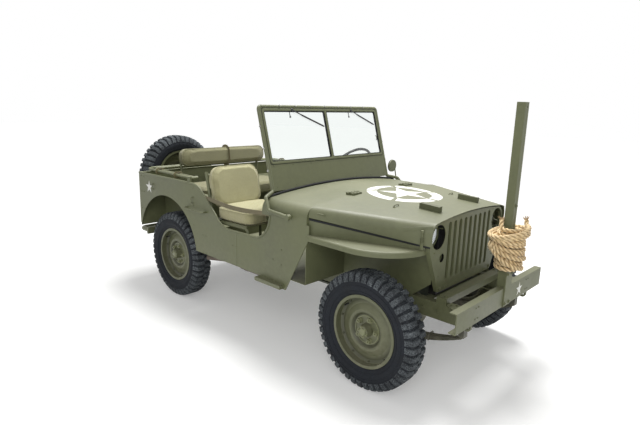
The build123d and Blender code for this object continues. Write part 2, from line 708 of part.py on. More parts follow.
# Grille: stamped shell with nine slots, lamp holes and a returned edge
with BuildPart() as grille:
    def grille_outline(inset):
        """The grille's outline, drawn in by inset."""
        with BuildSketch(mode=Mode.PRIVATE) as face:
            with BuildLine():
                Polyline(
                    (GRILLE_HALF - GRILLE_CORNER, GRILLE_SIDE_Z),
                    (GRILLE_HALF, GRILLE_SIDE_Z - GRILLE_CORNER),
                    (GRILLE_HALF, GRILLE_WAIST_Z),
                    (GRILLE_LOW_HALF, GRILLE_BOTTOM_Z),
                    (-GRILLE_LOW_HALF, GRILLE_BOTTOM_Z),
                    (-GRILLE_HALF, GRILLE_WAIST_Z),
                    (-GRILLE_HALF, GRILLE_SIDE_Z - GRILLE_CORNER),
                    (-GRILLE_HALF + GRILLE_CORNER, GRILLE_SIDE_Z),
                )
                ThreePointArc(
                    (-GRILLE_HALF + GRILLE_CORNER, GRILLE_SIDE_Z),
                    (0, GRILLE_CROWN_Z),
                    (GRILLE_HALF - GRILLE_CORNER, GRILLE_SIDE_Z),
                )
            make_face()
            fillet(face.vertices().group_by(Axis.Y)[-1] + face.vertices().group_by(Axis.Y)[-2], 40)
            if inset:
                offset(amount=-inset)
        return face.sketch

    with BuildSketch(Plane.YZ.offset(along(GRILLE_X) - 24)):
        add(grille_outline(0))
    extrude(amount=27)
    with BuildSketch(Plane.YZ.offset(along(GRILLE_X) - 24)):
        add(grille_outline(SHEET))
    extrude(amount=24, mode=Mode.SUBTRACT)
    with BuildSketch(Plane.YZ.offset(along(GRILLE_X) - 1)):
        with Locations((0, SLOT_Z)):
            with GridLocations(SLOT_PITCH, 0, SLOT_COUNT, 1):
                SlotOverall(SLOT_LENGTH, SLOT_WIDTH, rotation=90)
        with Locations((-LAMP_Y, LAMP_Z), (LAMP_Y, LAMP_Z)):
            Circle(LAMP_HOLE)
        with Locations((-SMALL_LAMP_Y, SMALL_LAMP_Z), (SMALL_LAMP_Y, SMALL_LAMP_Z)):
            Circle(SMALL_LAMP_HOLE)
    extrude(amount=5, mode=Mode.SUBTRACT)
    # Each slot's edge is turned in
    with BuildSketch(Plane.YZ.offset(along(GRILLE_X))):
        with Locations((0, SLOT_Z)):
            with GridLocations(SLOT_PITCH, 0, SLOT_COUNT, 1):
                SlotOverall(SLOT_LENGTH + 2 * SLOT_WALL, SLOT_WIDTH + 2 * SLOT_WALL, rotation=90)
        with Locations((0, SLOT_Z)):
            with GridLocations(SLOT_PITCH, 0, SLOT_COUNT, 1):
                SlotOverall(SLOT_LENGTH, SLOT_WIDTH, rotation=90, mode=Mode.SUBTRACT)
    extrude(amount=-SLOT_RETURN)
keep(grille.part, "grille")

with BuildPart() as headlamps:
    # Lamps: place along Y, height, hole radius, bowl radius, depth
    for y, z, hole, bowl, depth in (
        (-LAMP_Y, LAMP_Z, LAMP_HOLE, 57, 74),
        (LAMP_Y, LAMP_Z, LAMP_HOLE, 57, 74),
        (-SMALL_LAMP_Y, SMALL_LAMP_Z, SMALL_LAMP_HOLE, 24, 36),
        (SMALL_LAMP_Y, SMALL_LAMP_Z, SMALL_LAMP_HOLE, 24, 36),
    ):
        with BuildSketch(Plane.YZ.offset(along(GRILLE_X) - RUN_GAP)):
            with Locations((y, z)):
                Circle(hole + 3)
        extrude(amount=-5)
        with BuildSketch(Plane.YZ.offset(along(GRILLE_X) - 5)):
            with Locations((y, z)):
                Circle(bowl)
        extrude(amount=-depth, taper=16)
        with BuildSketch(Plane.YZ.offset(along(GRILLE_X) - 1)):
            with Locations((y, z)):
                Circle(hole - 4)
        extrude(amount=0.14 * hole, taper=40)
keep(headlamps.part, "headlamps")

with BuildPart() as radiator:
    with Locations((along(GRILLE_X) - 88, 0, 790)):
        Box(60, 540, 380)
    with Locations((along(GRILLE_X) - 88, 0, 985)):
        Box(50, 480, 30)
    with Locations((along(GRILLE_X) - 88, 0, (RAIL_TOP - 15 + RUN_GAP + 600) / 2)):
        Box(50, 480, 600 - RAIL_TOP + 15 - RUN_GAP)
keep(radiator.part, "radiator")


# Fenders: flat tops with a turned-down lip and an inner apron
def outer_edges(face, rear_x):
    """The edges of a fender's top that are not at its rear, at the grille or at the apron."""
    rim = [e for e in face.edges() if abs(e.center().Y) > APRON_Y + 60]
    return [e for e in rim if e.center().X > rear_x + SHEET]


def fender(side):
    """The fender on one side, +1 left."""
    with BuildPart() as made:
        rear_x = along(-400) + 1
        front_x = along(GRILLE_X - 24) - RUN_GAP
        with BuildSketch(Plane.XY.offset(FENDER_Z - FENDER_LIP)) as plan:
            with BuildLine():
                Polyline(
                    (front_x, side * (GRILLE_HALF - 10)), (front_x, side * (APRON_Y + 24)),
                    (rear_x, side * (APRON_Y + 24)), (rear_x, side * FENDER_HALF),
                    (along(-60), side * FENDER_HALF),
                )
                ThreePointArc(
                    (along(-60), side * FENDER_HALF), (along(150), side * (FENDER_HALF - 98)),
                    (front_x, side * (GRILLE_HALF - 10)),
                )
            make_face()
        extrude(amount=FENDER_LIP)
        fillet(outer_edges(made.faces().sort_by(Axis.Z)[-1], rear_x), FENDER_ROUND)
        with BuildPart(mode=Mode.PRIVATE) as hollow:
            with BuildSketch(Plane.XY.offset(FENDER_Z - FENDER_LIP - 1)):
                add(plan.sketch.moved(Location((0, 0, -(FENDER_Z - FENDER_LIP)))))
                offset(amount=-SHEET, kind=Kind.INTERSECTION)
            extrude(amount=FENDER_LIP + 1 - SHEET)
            fillet(outer_edges(hollow.faces().sort_by(Axis.Z)[-1], rear_x + SHEET), FENDER_ROUND - SHEET)
        add(hollow.part, mode=Mode.SUBTRACT)
        # Apron between the fender and the frame rail
        with BuildSketch(Plane.XZ.offset(-side * APRON_Y if side > 0 else APRON_Y - SHEET)):
            with BuildLine():
                Polyline(
                    (along(-418), FENDER_Z), (along(-418), RAIL_TOP + RUN_GAP), (along(120), RAIL_TOP + RUN_GAP),
                    (front_x, 640), (front_x, FENDER_Z), close=True,
                )
            make_face()
        extrude(amount=SHEET)
        with BuildSketch(Plane.XY.offset(FENDER_Z)):
            with BuildLine():
                Polyline(
                    (along(-418), side * (APRON_Y - SHEET)), (along(-418), side * (APRON_Y + 44)),
                    (front_x, side * (APRON_Y + 44)), (front_x, side * (APRON_Y - SHEET)), close=True,
                )
            make_face()
        extrude(amount=-SHEET)
        # Riser that follows the hood's edge down to the fender
        hood_narrowing = HOOD_REAR_HALF - GRILLE_HALF - PANEL_GAP - SHEET
        hood_slope = hood_narrowing / (HOOD_FRONT_X - HOOD_REAR_X)
        riser_x = along(COWL_FRONT_X) + RUN_GAP + 1.1
        rear_y = HOOD_REAR_HALF - 8
        front_y = rear_y - hood_slope * (front_x - riser_x)
        riser = Plane(
            origin=(riser_x, side * rear_y, 0),
            x_dir=(front_x - riser_x, side * (front_y - rear_y), 0),
            z_dir=(side * (front_y - rear_y), riser_x - front_x, 0),
        )
        with BuildSketch(riser):
            with BuildLine():
                run = math.hypot(front_x - riser_x, front_y - rear_y)
                Polyline((0, FENDER_Z - 2), (run, FENDER_Z - 2), (run, 886), (0, 964), close=True)
            make_face()
        extrude(amount=side * SHEET)
    return made.part


keep(fender(1), "fender_left")
keep(fender(-1), "fender_right")

# Hood: a crowned lid, wide at the cowl and narrow at the grille
# Rear and front section: half width, low edge, side height, crown height, shoulder radius
HOOD_REAR = (HOOD_REAR_HALF, 972, 1038, 1078, 56)
HOOD_FRONT = (GRILLE_HALF + PANEL_GAP + SHEET, 888, 1018, 1042, 60)


def hood_height(x, y):
    """Height of the hood's outer skin over a place."""
    back = (HOOD_FRONT_X - x) / (HOOD_FRONT_X - HOOD_REAR_X)
    rear_half, _, rear_side, rear_crown, rear_radius = HOOD_REAR
    front_half, _, front_side, front_crown, front_radius = HOOD_FRONT
    share = y / (back * (rear_half - rear_radius) + (1 - back) * (front_half - front_radius))
    rear_height = crown_height(share, rear_half, rear_side, rear_crown, rear_radius)
    front_height = crown_height(share, front_half, front_side, front_crown, front_radius)
    return back * rear_height + (1 - back) * front_height


with BuildPart() as hood:
    for x, section in ((HOOD_REAR_X, HOOD_REAR), (HOOD_FRONT_X, HOOD_FRONT)):
        with BuildSketch(Plane.YZ.offset(along(x))):
            add(cowl_section(*section, SHEET))
    loft()
    # Hinge barrels and their leaves at the rear edge
    for side in (-1, 1):
        with Locations((along(HINGE_X), side * HINGE_Y, HINGE_Z)):
            Cylinder(HINGE_RADIUS, HINGE_LENGTH, rotation=(90, 0, 0))
        with Locations((along(HINGE_X) + 15, side * HINGE_Y, 1073)):
            Box(25, HINGE_LENGTH, 16)
keep(hood.part, "hood")

# Blocks that the folded windscreen rests on, each lying on the hood's skin
with BuildPart() as hood_blocks:
    rise_x = hood_height(BLOCK_X + BLOCK_LENGTH / 2, BLOCK_Y) - hood_height(BLOCK_X - BLOCK_LENGTH / 2, BLOCK_Y)
    rise_y = hood_height(BLOCK_X, BLOCK_Y + BLOCK_SIDE / 2) - hood_height(BLOCK_X, BLOCK_Y - BLOCK_SIDE / 2)
    pitch = math.degrees(math.atan2(-rise_x, BLOCK_LENGTH))
    roll = math.degrees(math.atan2(rise_y, BLOCK_SIDE))
    block_z = hood_height(BLOCK_X, BLOCK_Y) + BLOCK_SEAT + BLOCK_SIDE / 2
    for side in (-1, 1):
        with Locations(Location((along(BLOCK_X), side * BLOCK_Y, block_z), (side * roll, pitch, 0))):
            Box(BLOCK_LENGTH, BLOCK_SIDE, BLOCK_SIDE)
keep(hood_blocks.part, "hood_rest_blocks")

# Windscreen: tube frame with arms, lower panel and the glass frame
LEAN = math.degrees(math.atan2(SCREEN_BASE_X - SCREEN_TOP_X, SCREEN_TOP_Z - SCREEN_BASE_Z))
SCREEN_RISE = math.hypot(SCREEN_BASE_X - SCREEN_TOP_X, SCREEN_TOP_Z - SCREEN_BASE_Z)
GLASS_LOW = 200.0
GLASS_TOP = SCREEN_RISE - 34
GLASS_MID = (GLASS_LOW + GLASS_TOP) / 2
screen_plane = Plane(
    origin=(along(SCREEN_BASE_X), 0, SCREEN_BASE_Z),
    x_dir=(0, 1, 0),
    z_dir=(math.cos(math.radians(LEAN)), 0, math.sin(math.radians(LEAN))),
)
with BuildPart() as windscreen_frame:
    for side in (-1, 1):
        add(
            bent_tube(
                [
                    (along(SCREEN_TOP_X), side * (SCREEN_HALF - 150), SCREEN_TOP_Z),
                    (along(SCREEN_TOP_X), side * SCREEN_HALF, SCREEN_TOP_Z),
                    (along(SCREEN_BASE_X), side * SCREEN_HALF, SCREEN_BASE_Z),
                    (along(-796), side * BODY_HALF, 1040),
                    (along(-740), side * SCREEN_ARM_Y, 965),
                    (along(PIVOT_X), side * SCREEN_ARM_Y, PIVOT_Z),
                ],
                22,
                SCREEN_TUBE,
            )
        )
    with Locations((along(SCREEN_TOP_X), 0, SCREEN_TOP_Z)):
        Cylinder(SCREEN_TUBE, 2 * (SCREEN_HALF - 149), rotation=(90, 0, 0))
    # Panel and glass frame lie in the leaning plane
    with BuildSketch(screen_plane.offset(-8)):
        with Locations((0, SCREEN_RISE / 2)):
            Rectangle(2 * SCREEN_HALF - 16, SCREEN_RISE)
        with Locations((0, GLASS_MID)):
            Rectangle(2 * SCREEN_HALF - 72, GLASS_TOP - GLASS_LOW, mode=Mode.SUBTRACT)
        with Locations((0, GLASS_MID)):
            Rectangle(26, GLASS_TOP - GLASS_LOW + 4)
    extrude(amount=16)
    with BuildSketch(screen_plane.offset(-20)):
        with Locations((0, GLASS_LOW / 2 - 10)):
            Rectangle(2 * SCREEN_HALF - 26, GLASS_LOW - 30)
    extrude(amount=17, mode=Mode.SUBTRACT)
    # Arm eyes
    for side in (-1, 1):
        with Locations((along(PIVOT_X), side * SCREEN_ARM_Y, PIVOT_Z)):
            Cylinder(18, 24, rotation=(90, 0, 0))
            Cylinder(PIN_RADIUS + RUN_GAP, 40, rotation=(90, 0, 0), mode=Mode.SUBTRACT)
keep(windscreen_frame.part, "windscreen_frame")

with BuildPart() as windscreen_glass:
    glass_height = GLASS_TOP - GLASS_LOW
    glass_width = (2 * SCREEN_HALF - 72 - 26) / 2
    with BuildSketch(screen_plane.offset(-3)):
        with Locations((0, GLASS_MID)):
            with GridLocations(glass_width + 26, 0, 2, 1):
                Rectangle(glass_width - 2 * RUN_GAP, glass_height - 2 * RUN_GAP)
    extrude(amount=6)
keep(windscreen_glass.part, "windscreen_glass")

with BuildPart() as wipers:
    with BuildSketch(screen_plane.offset(8 + RUN_GAP)):
        for y in (-400, 280):
            with Locations((y, SCREEN_RISE - 26)):
                Circle(11)
            with Locations((y + 47, SCREEN_RISE - 26 - 72)):
                Rectangle(9, 172, rotation=33)
    extrude(amount=9)
keep(wipers.part, "wipers")

# Seats: tube frames and plain cushions
FRONT_SEAT_Y = 492.0
SEAT_HALF = 225.0
with BuildPart() as front_seat_frames:
    foot_z = RAIL_TOP + SHEET + RUN_GAP
    for side in (-1, 1):
        y = side * FRONT_SEAT_Y
        for dy in (-SEAT_HALF + 14, SEAT_HALF - 14):
            add(
                bent_tube(
                    [
                        (along(-1020), y + dy, foot_z + 2), (along(-1020), y + dy, 776),
                        (along(-1430), y + dy, 766), (along(-1515), y + dy, 1120),
                    ],
                    40,
                    12,
                )
            )
            with Locations((along(-1390), y + dy, (foot_z + 766) / 2)):
                Cylinder(12, 766 - foot_z)
            for x in (-1020, -1390):
                with Locations((along(x), y + dy, foot_z + 5)):
                    Box(50, 30, 10)
        with Locations(Location((along(-1225), y, 784), (0, -1.4, 0))):
            Box(380, 2 * SEAT_HALF - 20, 8)
        for x, z in ((-1484, 990), (-1509, 1095)):
            with Locations((along(x), y, z)):
                Cylinder(10, 2 * SEAT_HALF - 28, rotation=(90, 0, 0))
keep(front_seat_frames.part, "front_seat_frames")


def cushion(length, width, thick, corner):
    """A plain cushion lying flat, its middle at the origin."""
    with BuildPart(mode=Mode.PRIVATE) as made:
        Box(length, width, thick)
        fillet(made.edges().filter_by(Axis.Z), corner)
        fillet(made.faces().sort_by(Axis.Z)[-1].edges(), 20)
    return made.part


BACK_LEAN = 13.5
with BuildPart() as front_seat_cushions:
    for side in (-1, 1):
        seat_place = Pos(along(-1195), side * FRONT_SEAT_Y, 841.5) * Rot(0, -1.4, 0)
        add(seat_place * cushion(400, 2 * SEAT_HALF, 104, 60))
        add(
            Pos(along(-1432), side * FRONT_SEAT_Y, 1010)
            * Rot(0, 90 - BACK_LEAN, 0)
            * cushion(320, 2 * SEAT_HALF, 64, 90)
        )
keep(front_seat_cushions.part, "front_seat_cushions")

with BuildPart() as rear_seat_frame:
    leg_z = REAR_FLOOR_Z + SHEET + RUN_GAP
    for side in (-1, 1):
        add(
            bent_tube(
                [
                    (along(-1880), side * 430, leg_z), (along(-1880), side * 430, 806),
                    (along(-2272), side * 430, 806), (along(-2312), side * 430, 1180),
                ],
                40,
                12,
            )
        )
        with Locations((along(-2240), side * 430, (leg_z + 806) / 2)):
            Cylinder(12, 806 - leg_z)
    with Locations((along(-2075), 0, 818)):
        Box(370, 880, 8)
    with Locations((along(-2305), 0, 1120)):
        Cylinder(10, 860, rotation=(90, 0, 0))
keep(rear_seat_frame.part, "rear_seat_frame")

with BuildPart() as rear_seat_cushions:
    add(Pos(along(-2052), 0, 822 + RUN_GAP + 45) * cushion(390, 940, 90, 50))
    add(Pos(along(-2254.9), 0, 1140) * Rot(0, 84, 0) * cushion(160, 940, 80, 40))
keep(rear_seat_cushions.part, "rear_seat_cushions")

with BuildPart() as fuel_tank:
    with Locations((along(-1200), FRONT_SEAT_Y, RAIL_TOP + SHEET + RUN_GAP + 78)):
        Box(300, 370, 156)
    fillet(fuel_tank.edges().filter_by(Axis.X), 20)
keep(fuel_tank.part, "fuel_tank")

# Steering column and wheel
column_top = Vector(*STEERING_TOP)
column_foot = Vector(*STEERING_FOOT)
column_dir = (column_top - column_foot).normalized()
wheel_plane = Plane(origin=column_top, z_dir=column_dir, x_dir=(0, 1, 0))
with BuildPart() as steering_wheel:
    with BuildSketch(Plane(origin=column_top, x_dir=wheel_plane.x_dir, z_dir=wheel_plane.y_dir * -1)):
        with Locations((STEERING_WHEEL_RADIUS - 10, 0)):
            Circle(11)
    revolve(axis=Axis(column_top, column_dir))
    with BuildSketch(wheel_plane.offset(-30)):
        Circle(30)
    extrude(amount=36)
    for angle in (90, 210, 330):
        a = math.radians(angle)
        rim = column_top + wheel_plane.x_dir * ((STEERING_WHEEL_RADIUS - 12) * math.cos(a)) + wheel_plane.y_dir * (
            (STEERING_WHEEL_RADIUS - 12) * math.sin(a)
        )
        add(rod(tuple(column_top - column_dir * 10), tuple(rim), 7))
keep(steering_wheel.part, "steering_wheel")

with BuildPart() as steering_column:
    add(rod(STEERING_FOOT, tuple(column_top - column_dir * (30 + RUN_GAP)), 19))
    # Steering box on the left rail
    with Locations((STEERING_FOOT[0], RAIL_OUT - 27, RAIL_TOP + RUN_GAP + 42)):
        Box(120, 54, 84)
keep(steering_column.part, "steering_column")

with BuildPart() as controls:
    boot_z = RAIL_TOP + SHEET + RUN_GAP
    # Levers: foot along X, place along Y, knob along X, knob height
    for foot_x, y, knob_x, knob_z in ((-820, 0, -900, 830), (-880, -70, -930, 700), (-880, -110, -930, 700)):
        with Locations((along(foot_x), y, boot_z + 8)):
            Cylinder(18, 16)
        add(rod((along(foot_x), y, boot_z + 8), (along(knob_x), y, knob_z), 7))
        with Locations((along(knob_x), y, knob_z)):
            Sphere(18)
    # Pedals on their arms
    for y in (300, 450, 540):
        with Locations((along(-560), y, boot_z + 8)):
            Box(34, 34, 16)
        add(rod((along(-560), y, boot_z + 8), (along(-640), y, 690), 8))
        with Locations(Location((along(-645), y, 696), (0, -50, 0))):
            Box(70, 60, 8)
keep(controls.part, "pedals_and_levers")

# Rear fittings
with BuildPart() as bumperettes:
    for side in (-1, 1):
        y = side * 560
        add(
            bent_tube(
                [
                    (along(TAIL_X + 23), y - 110, 480), (along(TAIL_X - 120), y - 110, 480),
                    (along(TAIL_X - 120), y + 110, 480), (along(TAIL_X + 23), y + 110, 480),
                ],
                40,
                19,
            )
        )
    with Locations((along(TAIL_X + 13), 0, 480)):
        Box(20, 2 * (BODY_HALF - 50), 60)
keep(bumperettes.part, "rear_bumperettes")

HOOK_END = -OVERALL_LENGTH / 2
HOOK_Z = 490.0
EYE_RADIUS = 24.0
with BuildPart() as tow_hook:
    with BuildSketch(Plane.XZ.offset(-16)):
        with Locations((HOOK_END + 48, HOOK_Z)):
            Circle(48)
            Circle(EYE_RADIUS, mode=Mode.SUBTRACT)
    extrude(amount=32)
    shank_end = along(TAIL_X + 3)
    shank_start = HOOK_END + 48 + EYE_RADIUS + 10
    with Locations(((shank_start + shank_end) / 2, 0, HOOK_Z)):
        Box(shank_end - shank_start, 32, 44)
    with Locations((along(TAIL_X) - 1, 0, HOOK_Z)):
        Box(8, 120, 110)
keep(tow_hook.part, "tow_hook")

with BuildPart() as tail_lamps:
    for y, z in ((70 - BODY_HALF, 730), (BODY_HALF - 70, 730)):
        with BuildSketch(Plane.YZ.offset(along(TAIL_X) - RUN_GAP)):
            with Locations((y, z)):
                Circle(36)
        extrude(amount=-44, taper=8)
keep(tail_lamps.part, "tail_lamps")

with BuildPart() as mirror_arm:
    add(
        bent_tube(
            [
                (along(-812), BODY_HALF + RUN_GAP, 953), (along(-812), BODY_HALF + 28, 953),
                (along(-853), BODY_HALF + 28, 1137),
            ],
            12,
            5,
        )
    )
    with BuildSketch(Plane.YZ.offset(along(-846))):
        with Locations((BODY_HALF - 5, 1137)):
            Circle(50)
    extrude(amount=-14)
keep(mirror_arm.part, "driving_mirror")

# Webbing straps across the door openings
with BuildPart() as straps:
    for side in (-1, 1):
        strap_y = side * (INNER_HALF - RUN_GAP) if side > 0 else side * (INNER_HALF - RUN_GAP) + 4
        with BuildSketch(Plane.XZ.offset(-strap_y)):
            with BuildLine():
                Polyline(
                    (along(-740), 918), (along(-800), 918), (along(-1040), 897), (along(-1250), 897),
                    (along(-1560), 925), (along(-1560), 955), (along(-1250), 929), (along(-1040), 929),
                    (along(-800), 948), (along(-740), 948), close=True,
                )
            make_face()
        extrude(amount=4)
keep(straps.part, "door_straps")

# Folded top bows: two nested U tubes that swing up together
with BuildPart() as top_bows:
    for reach, half in ((714, BOW_HALF), (664, BOW_HALF - 33)):
        add(
            bent_tube(
                [
                    (along(BOW_X), -half, BOW_Z), (along(BOW_X - reach), -half, BOW_Z),
                    (along(BOW_X - reach), half, BOW_Z), (along(BOW_X), half, BOW_Z),
                ],
                90,
                12,
            )
        )
    for side in (-1, 1):
        with Locations((along(BOW_X), side * (BOW_HALF - 16), BOW_Z)):
            Cylinder(16, 58, rotation=(90, 0, 0))
            Cylinder(BOW_PIN + RUN_GAP, 80, rotation=(90, 0, 0), mode=Mode.SUBTRACT)
keep(top_bows.part, "top_bows")
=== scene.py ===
"""Army 4x4 car: finishes, rope, tyres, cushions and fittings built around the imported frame."""
import json
import math
import random

import bmesh
import bpy
from mathutils import Matrix, Vector, noise
from mathutils.bvhtree import BVHTree


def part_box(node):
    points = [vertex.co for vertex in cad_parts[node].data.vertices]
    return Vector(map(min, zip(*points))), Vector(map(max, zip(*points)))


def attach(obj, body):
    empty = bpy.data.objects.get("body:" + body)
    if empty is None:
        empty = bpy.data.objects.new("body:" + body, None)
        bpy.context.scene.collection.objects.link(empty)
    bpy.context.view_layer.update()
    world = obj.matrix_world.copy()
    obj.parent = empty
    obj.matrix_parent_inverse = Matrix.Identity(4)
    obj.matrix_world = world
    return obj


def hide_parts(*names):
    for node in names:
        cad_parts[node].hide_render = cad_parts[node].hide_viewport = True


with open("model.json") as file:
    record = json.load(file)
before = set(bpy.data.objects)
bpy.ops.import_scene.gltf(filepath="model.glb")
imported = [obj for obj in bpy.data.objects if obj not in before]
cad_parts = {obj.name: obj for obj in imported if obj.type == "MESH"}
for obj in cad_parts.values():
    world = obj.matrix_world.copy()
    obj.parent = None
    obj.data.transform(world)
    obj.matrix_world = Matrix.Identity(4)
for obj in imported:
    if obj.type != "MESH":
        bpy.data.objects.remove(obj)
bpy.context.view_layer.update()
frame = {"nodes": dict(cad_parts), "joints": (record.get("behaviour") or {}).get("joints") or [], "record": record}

# Places: millimetres from the front axle on the middle line, Z from the ground
MM = 0.001
JOINTS = {joint["name"]: joint for joint in frame["joints"]}
FRONT_AXLE_X = JOINTS["front_left_wheel_spin"]["pos_m"][0]
SIDES = (-1, 1)
WORDED_SIDES = ((-1, "right"), (1, "left"))
WHEELBASE = 2032.0
# Each wheel's tyre node, wheel node, body, and the turn that brings +Y to its outside
WHEELS = {
    corner: (f"tyre_{corner}", f"wheel_{corner}", f"road_wheel_{corner}", turn_out)
    for corner, turn_out in (("front_left", 0), ("front_right", 180), ("rear_left", 0), ("rear_right", 180))
}
WHEELS["spare"] = ("spare_tyre", "spare_wheel", "chassis", 90)


def at(x, y, z):
    """A place on the car, in metres, from its drawing place in millimetres."""
    return Vector((FRONT_AXLE_X + x * MM, y * MM, z * MM))


def node_middle(name):
    """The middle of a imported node's box."""
    low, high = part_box(name)
    return (Vector(low) + Vector(high)) / 2


def placed(place, turn_z=0.0, turn_y=0.0, turn_x=0.0):
    """A placing matrix from a place and turns in degrees."""
    turns = Matrix.Identity(4)
    for angle, axis in ((turn_z, "Z"), (turn_y, "Y"), (turn_x, "X")):
        turns = turns @ Matrix.Rotation(math.radians(angle), 4, axis)
    return Matrix.Translation(place) @ turns


# Shader node helpers
def node(tree, kind, inputs=None, **settings):
    """A node with its settings, its values and its links."""
    made = tree.nodes.new(kind)
    for name, value in settings.items():
        setattr(made, name, value)
    for name, value in (inputs or {}).items():
        if isinstance(value, bpy.types.NodeSocket):
            tree.links.new(value, made.inputs[name])
        else:
            made.inputs[name].default_value = value
    return made


def new_finish(name, roughness=0.5, **sockets):
    """A material with a Principled shader, and its tree."""
    material = bpy.data.materials.new(name)
    material.use_nodes = True
    shader = material.node_tree.nodes["Principled BSDF"]
    shader.inputs["Roughness"].default_value = roughness
    for socket, value in sockets.items():
        shader.inputs[socket.replace("_", " ")].default_value = value
    return material, material.node_tree, shader


def mix_colours(tree, share, first, second):
    """Colour between two colours."""
    made = node(tree, "ShaderNodeMix", data_type="RGBA")
    for socket, value in ((made.inputs[0], share), (made.inputs[6], first), (made.inputs[7], second)):
        if isinstance(value, bpy.types.NodeSocket):
            tree.links.new(value, socket)
        elif isinstance(value, (int, float)):
            socket.default_value = value
        else:
            socket.default_value = (*value[:3], 1)
    return made.outputs[2]


def spread(tree, value, low, high, to_low=0.0, to_high=1.0):
    """A value spread from one range to another and held inside it."""
    inputs = {"Value": value, "From Min": low, "From Max": high, "To Min": to_low, "To Max": to_high}
    return node(tree, "ShaderNodeMapRange", inputs).outputs[0]


def times(tree, first, second, operation="MULTIPLY"):
    """Two values multiplied, or joined by another operation."""
    return node(tree, "ShaderNodeMath", {0: first, 1: second}, operation=operation).outputs[0]


def object_place(tree):
    """The place of a shaded point on the car."""
    return node(tree, "ShaderNodeTexCoord").outputs["Object"]


def speckle(tree, where, size, detail=3.0, rough=0.55):
    """Noise of a size in metres."""
    inputs = {"Vector": where, "Scale": 1 / size, "Detail": detail, "Roughness": rough}
    return node(tree, "ShaderNodeTexNoise", inputs).outputs[0]


def bumped(tree, shader, height, depth):
    """Bump of a depth in metres on the shader."""
    bump = node(tree, "ShaderNodeBump", {"Height": height, "Distance": depth, "Strength": 1.0})
    tree.links.new(bump.outputs[0], shader.inputs["Normal"])


def shade(colour, factor):
    """A colour lighter or darker."""
    return tuple(min(1.0, part * factor) for part in colour)


DUST = (0.29, 0.27, 0.20)
OLIVE = (0.114, 0.123, 0.061)
# Distances from the axle at which the painted shade of a hollow starts, is full, wanes and ends
WHEEL_HOLLOW_SHADE = ((0.086, 0.093, 0.100, 0.118), (0.160, 0.186, 0.198, 0.206))
ROAD_GREY = (0.190, 0.212, 0.222)


def painted(name, colour, roughness=0.46, dust=0.30, chips=True, axle=None):
    """Sprayed drab paint: clouded tone, dust on what faces up, road dust low down and small chips.

    axle, a place and the two directions across it, darkens the paint in rings about it in a wheel's hollows:
    painted shade."""
    material, tree, shader = new_finish(name, roughness)
    coordinate = node(tree, "ShaderNodeTexCoord")
    where = coordinate.outputs["Object"]
    cloud = speckle(tree, where, 0.42, 4.0)
    fine = speckle(tree, where, 0.03, 5.0)
    tone = mix_colours(tree, spread(tree, cloud, 0.3, 0.7), shade(colour, 0.87), shade(colour, 1.12))
    tone = mix_colours(tree, spread(tree, fine, 0.42, 0.72, 0.0, 0.35), tone, shade(colour, 1.3))
    facing = node(tree, "ShaderNodeSeparateXYZ", {0: coordinate.outputs["Normal"]}).outputs[2]
    height = node(tree, "ShaderNodeSeparateXYZ", {0: where}).outputs[2]
    lying = times(tree, spread(tree, facing, 0.35, 1.0), spread(tree, cloud, 0.35, 0.75, 0.35, 1.0))
    road = times(tree, spread(tree, height, 0.62, 0.05), spread(tree, fine, 0.35, 0.65, 0.25, 1.0))
    tone = mix_colours(tree, times(tree, lying, dust), tone, shade(DUST, 0.8))
    tone = mix_colours(tree, times(tree, road, dust * 1.4), tone, DUST)
    if chips:
        spots = spread(tree, speckle(tree, where, 0.011, 2.0, 0.7), 0.73, 0.76)
        patches = spread(tree, speckle(tree, where, 0.16), 0.56, 0.64)
        tone = mix_colours(tree, times(tree, times(tree, spots, patches), 0.55), tone, shade(colour, 0.45))
    # Painted shade: rings about the axle, in the rim's well and round the hub, darkened towards a deep olive with
    # a little noise
    if axle:
        out = node(tree, "ShaderNodeVectorMath", {0: where, 1: axle[0]}, operation="SUBTRACT").outputs[0]
        out = node(tree, "ShaderNodeVectorMath", {0: out, 1: axle[1]}, operation="MULTIPLY").outputs[0]
        reach = node(tree, "ShaderNodeVectorMath", {0: out}, operation="LENGTH").outputs["Value"]
        hollow_shade = 0.0
        for start, full, wane, end in WHEEL_HOLLOW_SHADE:
            hollow = times(tree, spread(tree, reach, start, full), spread(tree, reach, end, wane))
            hollow_shade = times(tree, hollow, hollow_shade, "MAXIMUM")
        hollow_shade = times(tree, hollow_shade, spread(tree, fine, 0.3, 0.7, 0.45, 0.80))
        tone = mix_colours(tree, hollow_shade, tone, shade(colour, 0.30))
    tree.links.new(tone, shader.inputs["Base Color"])
    rough = spread(tree, cloud, 0.3, 0.7, roughness - 0.05, roughness + 0.12)
    tree.links.new(times(tree, rough, times(tree, lying, 0.12), "ADD"), shader.inputs["Roughness"])
    peel = speckle(tree, where, 0.004, 2.0)
    swell = speckle(tree, where, 0.12, 1.0)
    bumped(tree, shader, times(tree, times(tree, peel, 0.12), swell, "ADD"), 0.0012)
    return material


def rubbery(name, colour, dust):
    """Dull rubber with grey-brown dust where it runs on the road."""
    material, tree, shader = new_finish(name, 0.72, Specular_IOR_Level=0.22)
    where = object_place(tree)
    worn = node(tree, "ShaderNodeAttribute", attribute_name="worn").outputs["Fac"]
    broad = speckle(tree, where, 0.09, 4.0)
    fine = speckle(tree, where, 0.006, 4.0)
    tone = mix_colours(tree, spread(tree, broad, 0.3, 0.7), shade(colour, 0.75), shade(colour, 1.35))
    dusty = times(tree, spread(tree, fine, 0.35, 0.7), spread(tree, broad, 0.3, 0.65, 0.3, 1.0))
    dusty = times(tree, dusty, times(tree, worn, 0.07, "ADD"))
    tone = mix_colours(tree, times(tree, dusty, dust), tone, ROAD_GREY)
    tree.links.new(tone, shader.inputs["Base Color"])
    tree.links.new(spread(tree, broad, 0.3, 0.7, 0.62, 0.85), shader.inputs["Roughness"])
    bumped(tree, shader, times(tree, fine, times(tree, broad, 0.5), "ADD"), 0.0009)
    return material


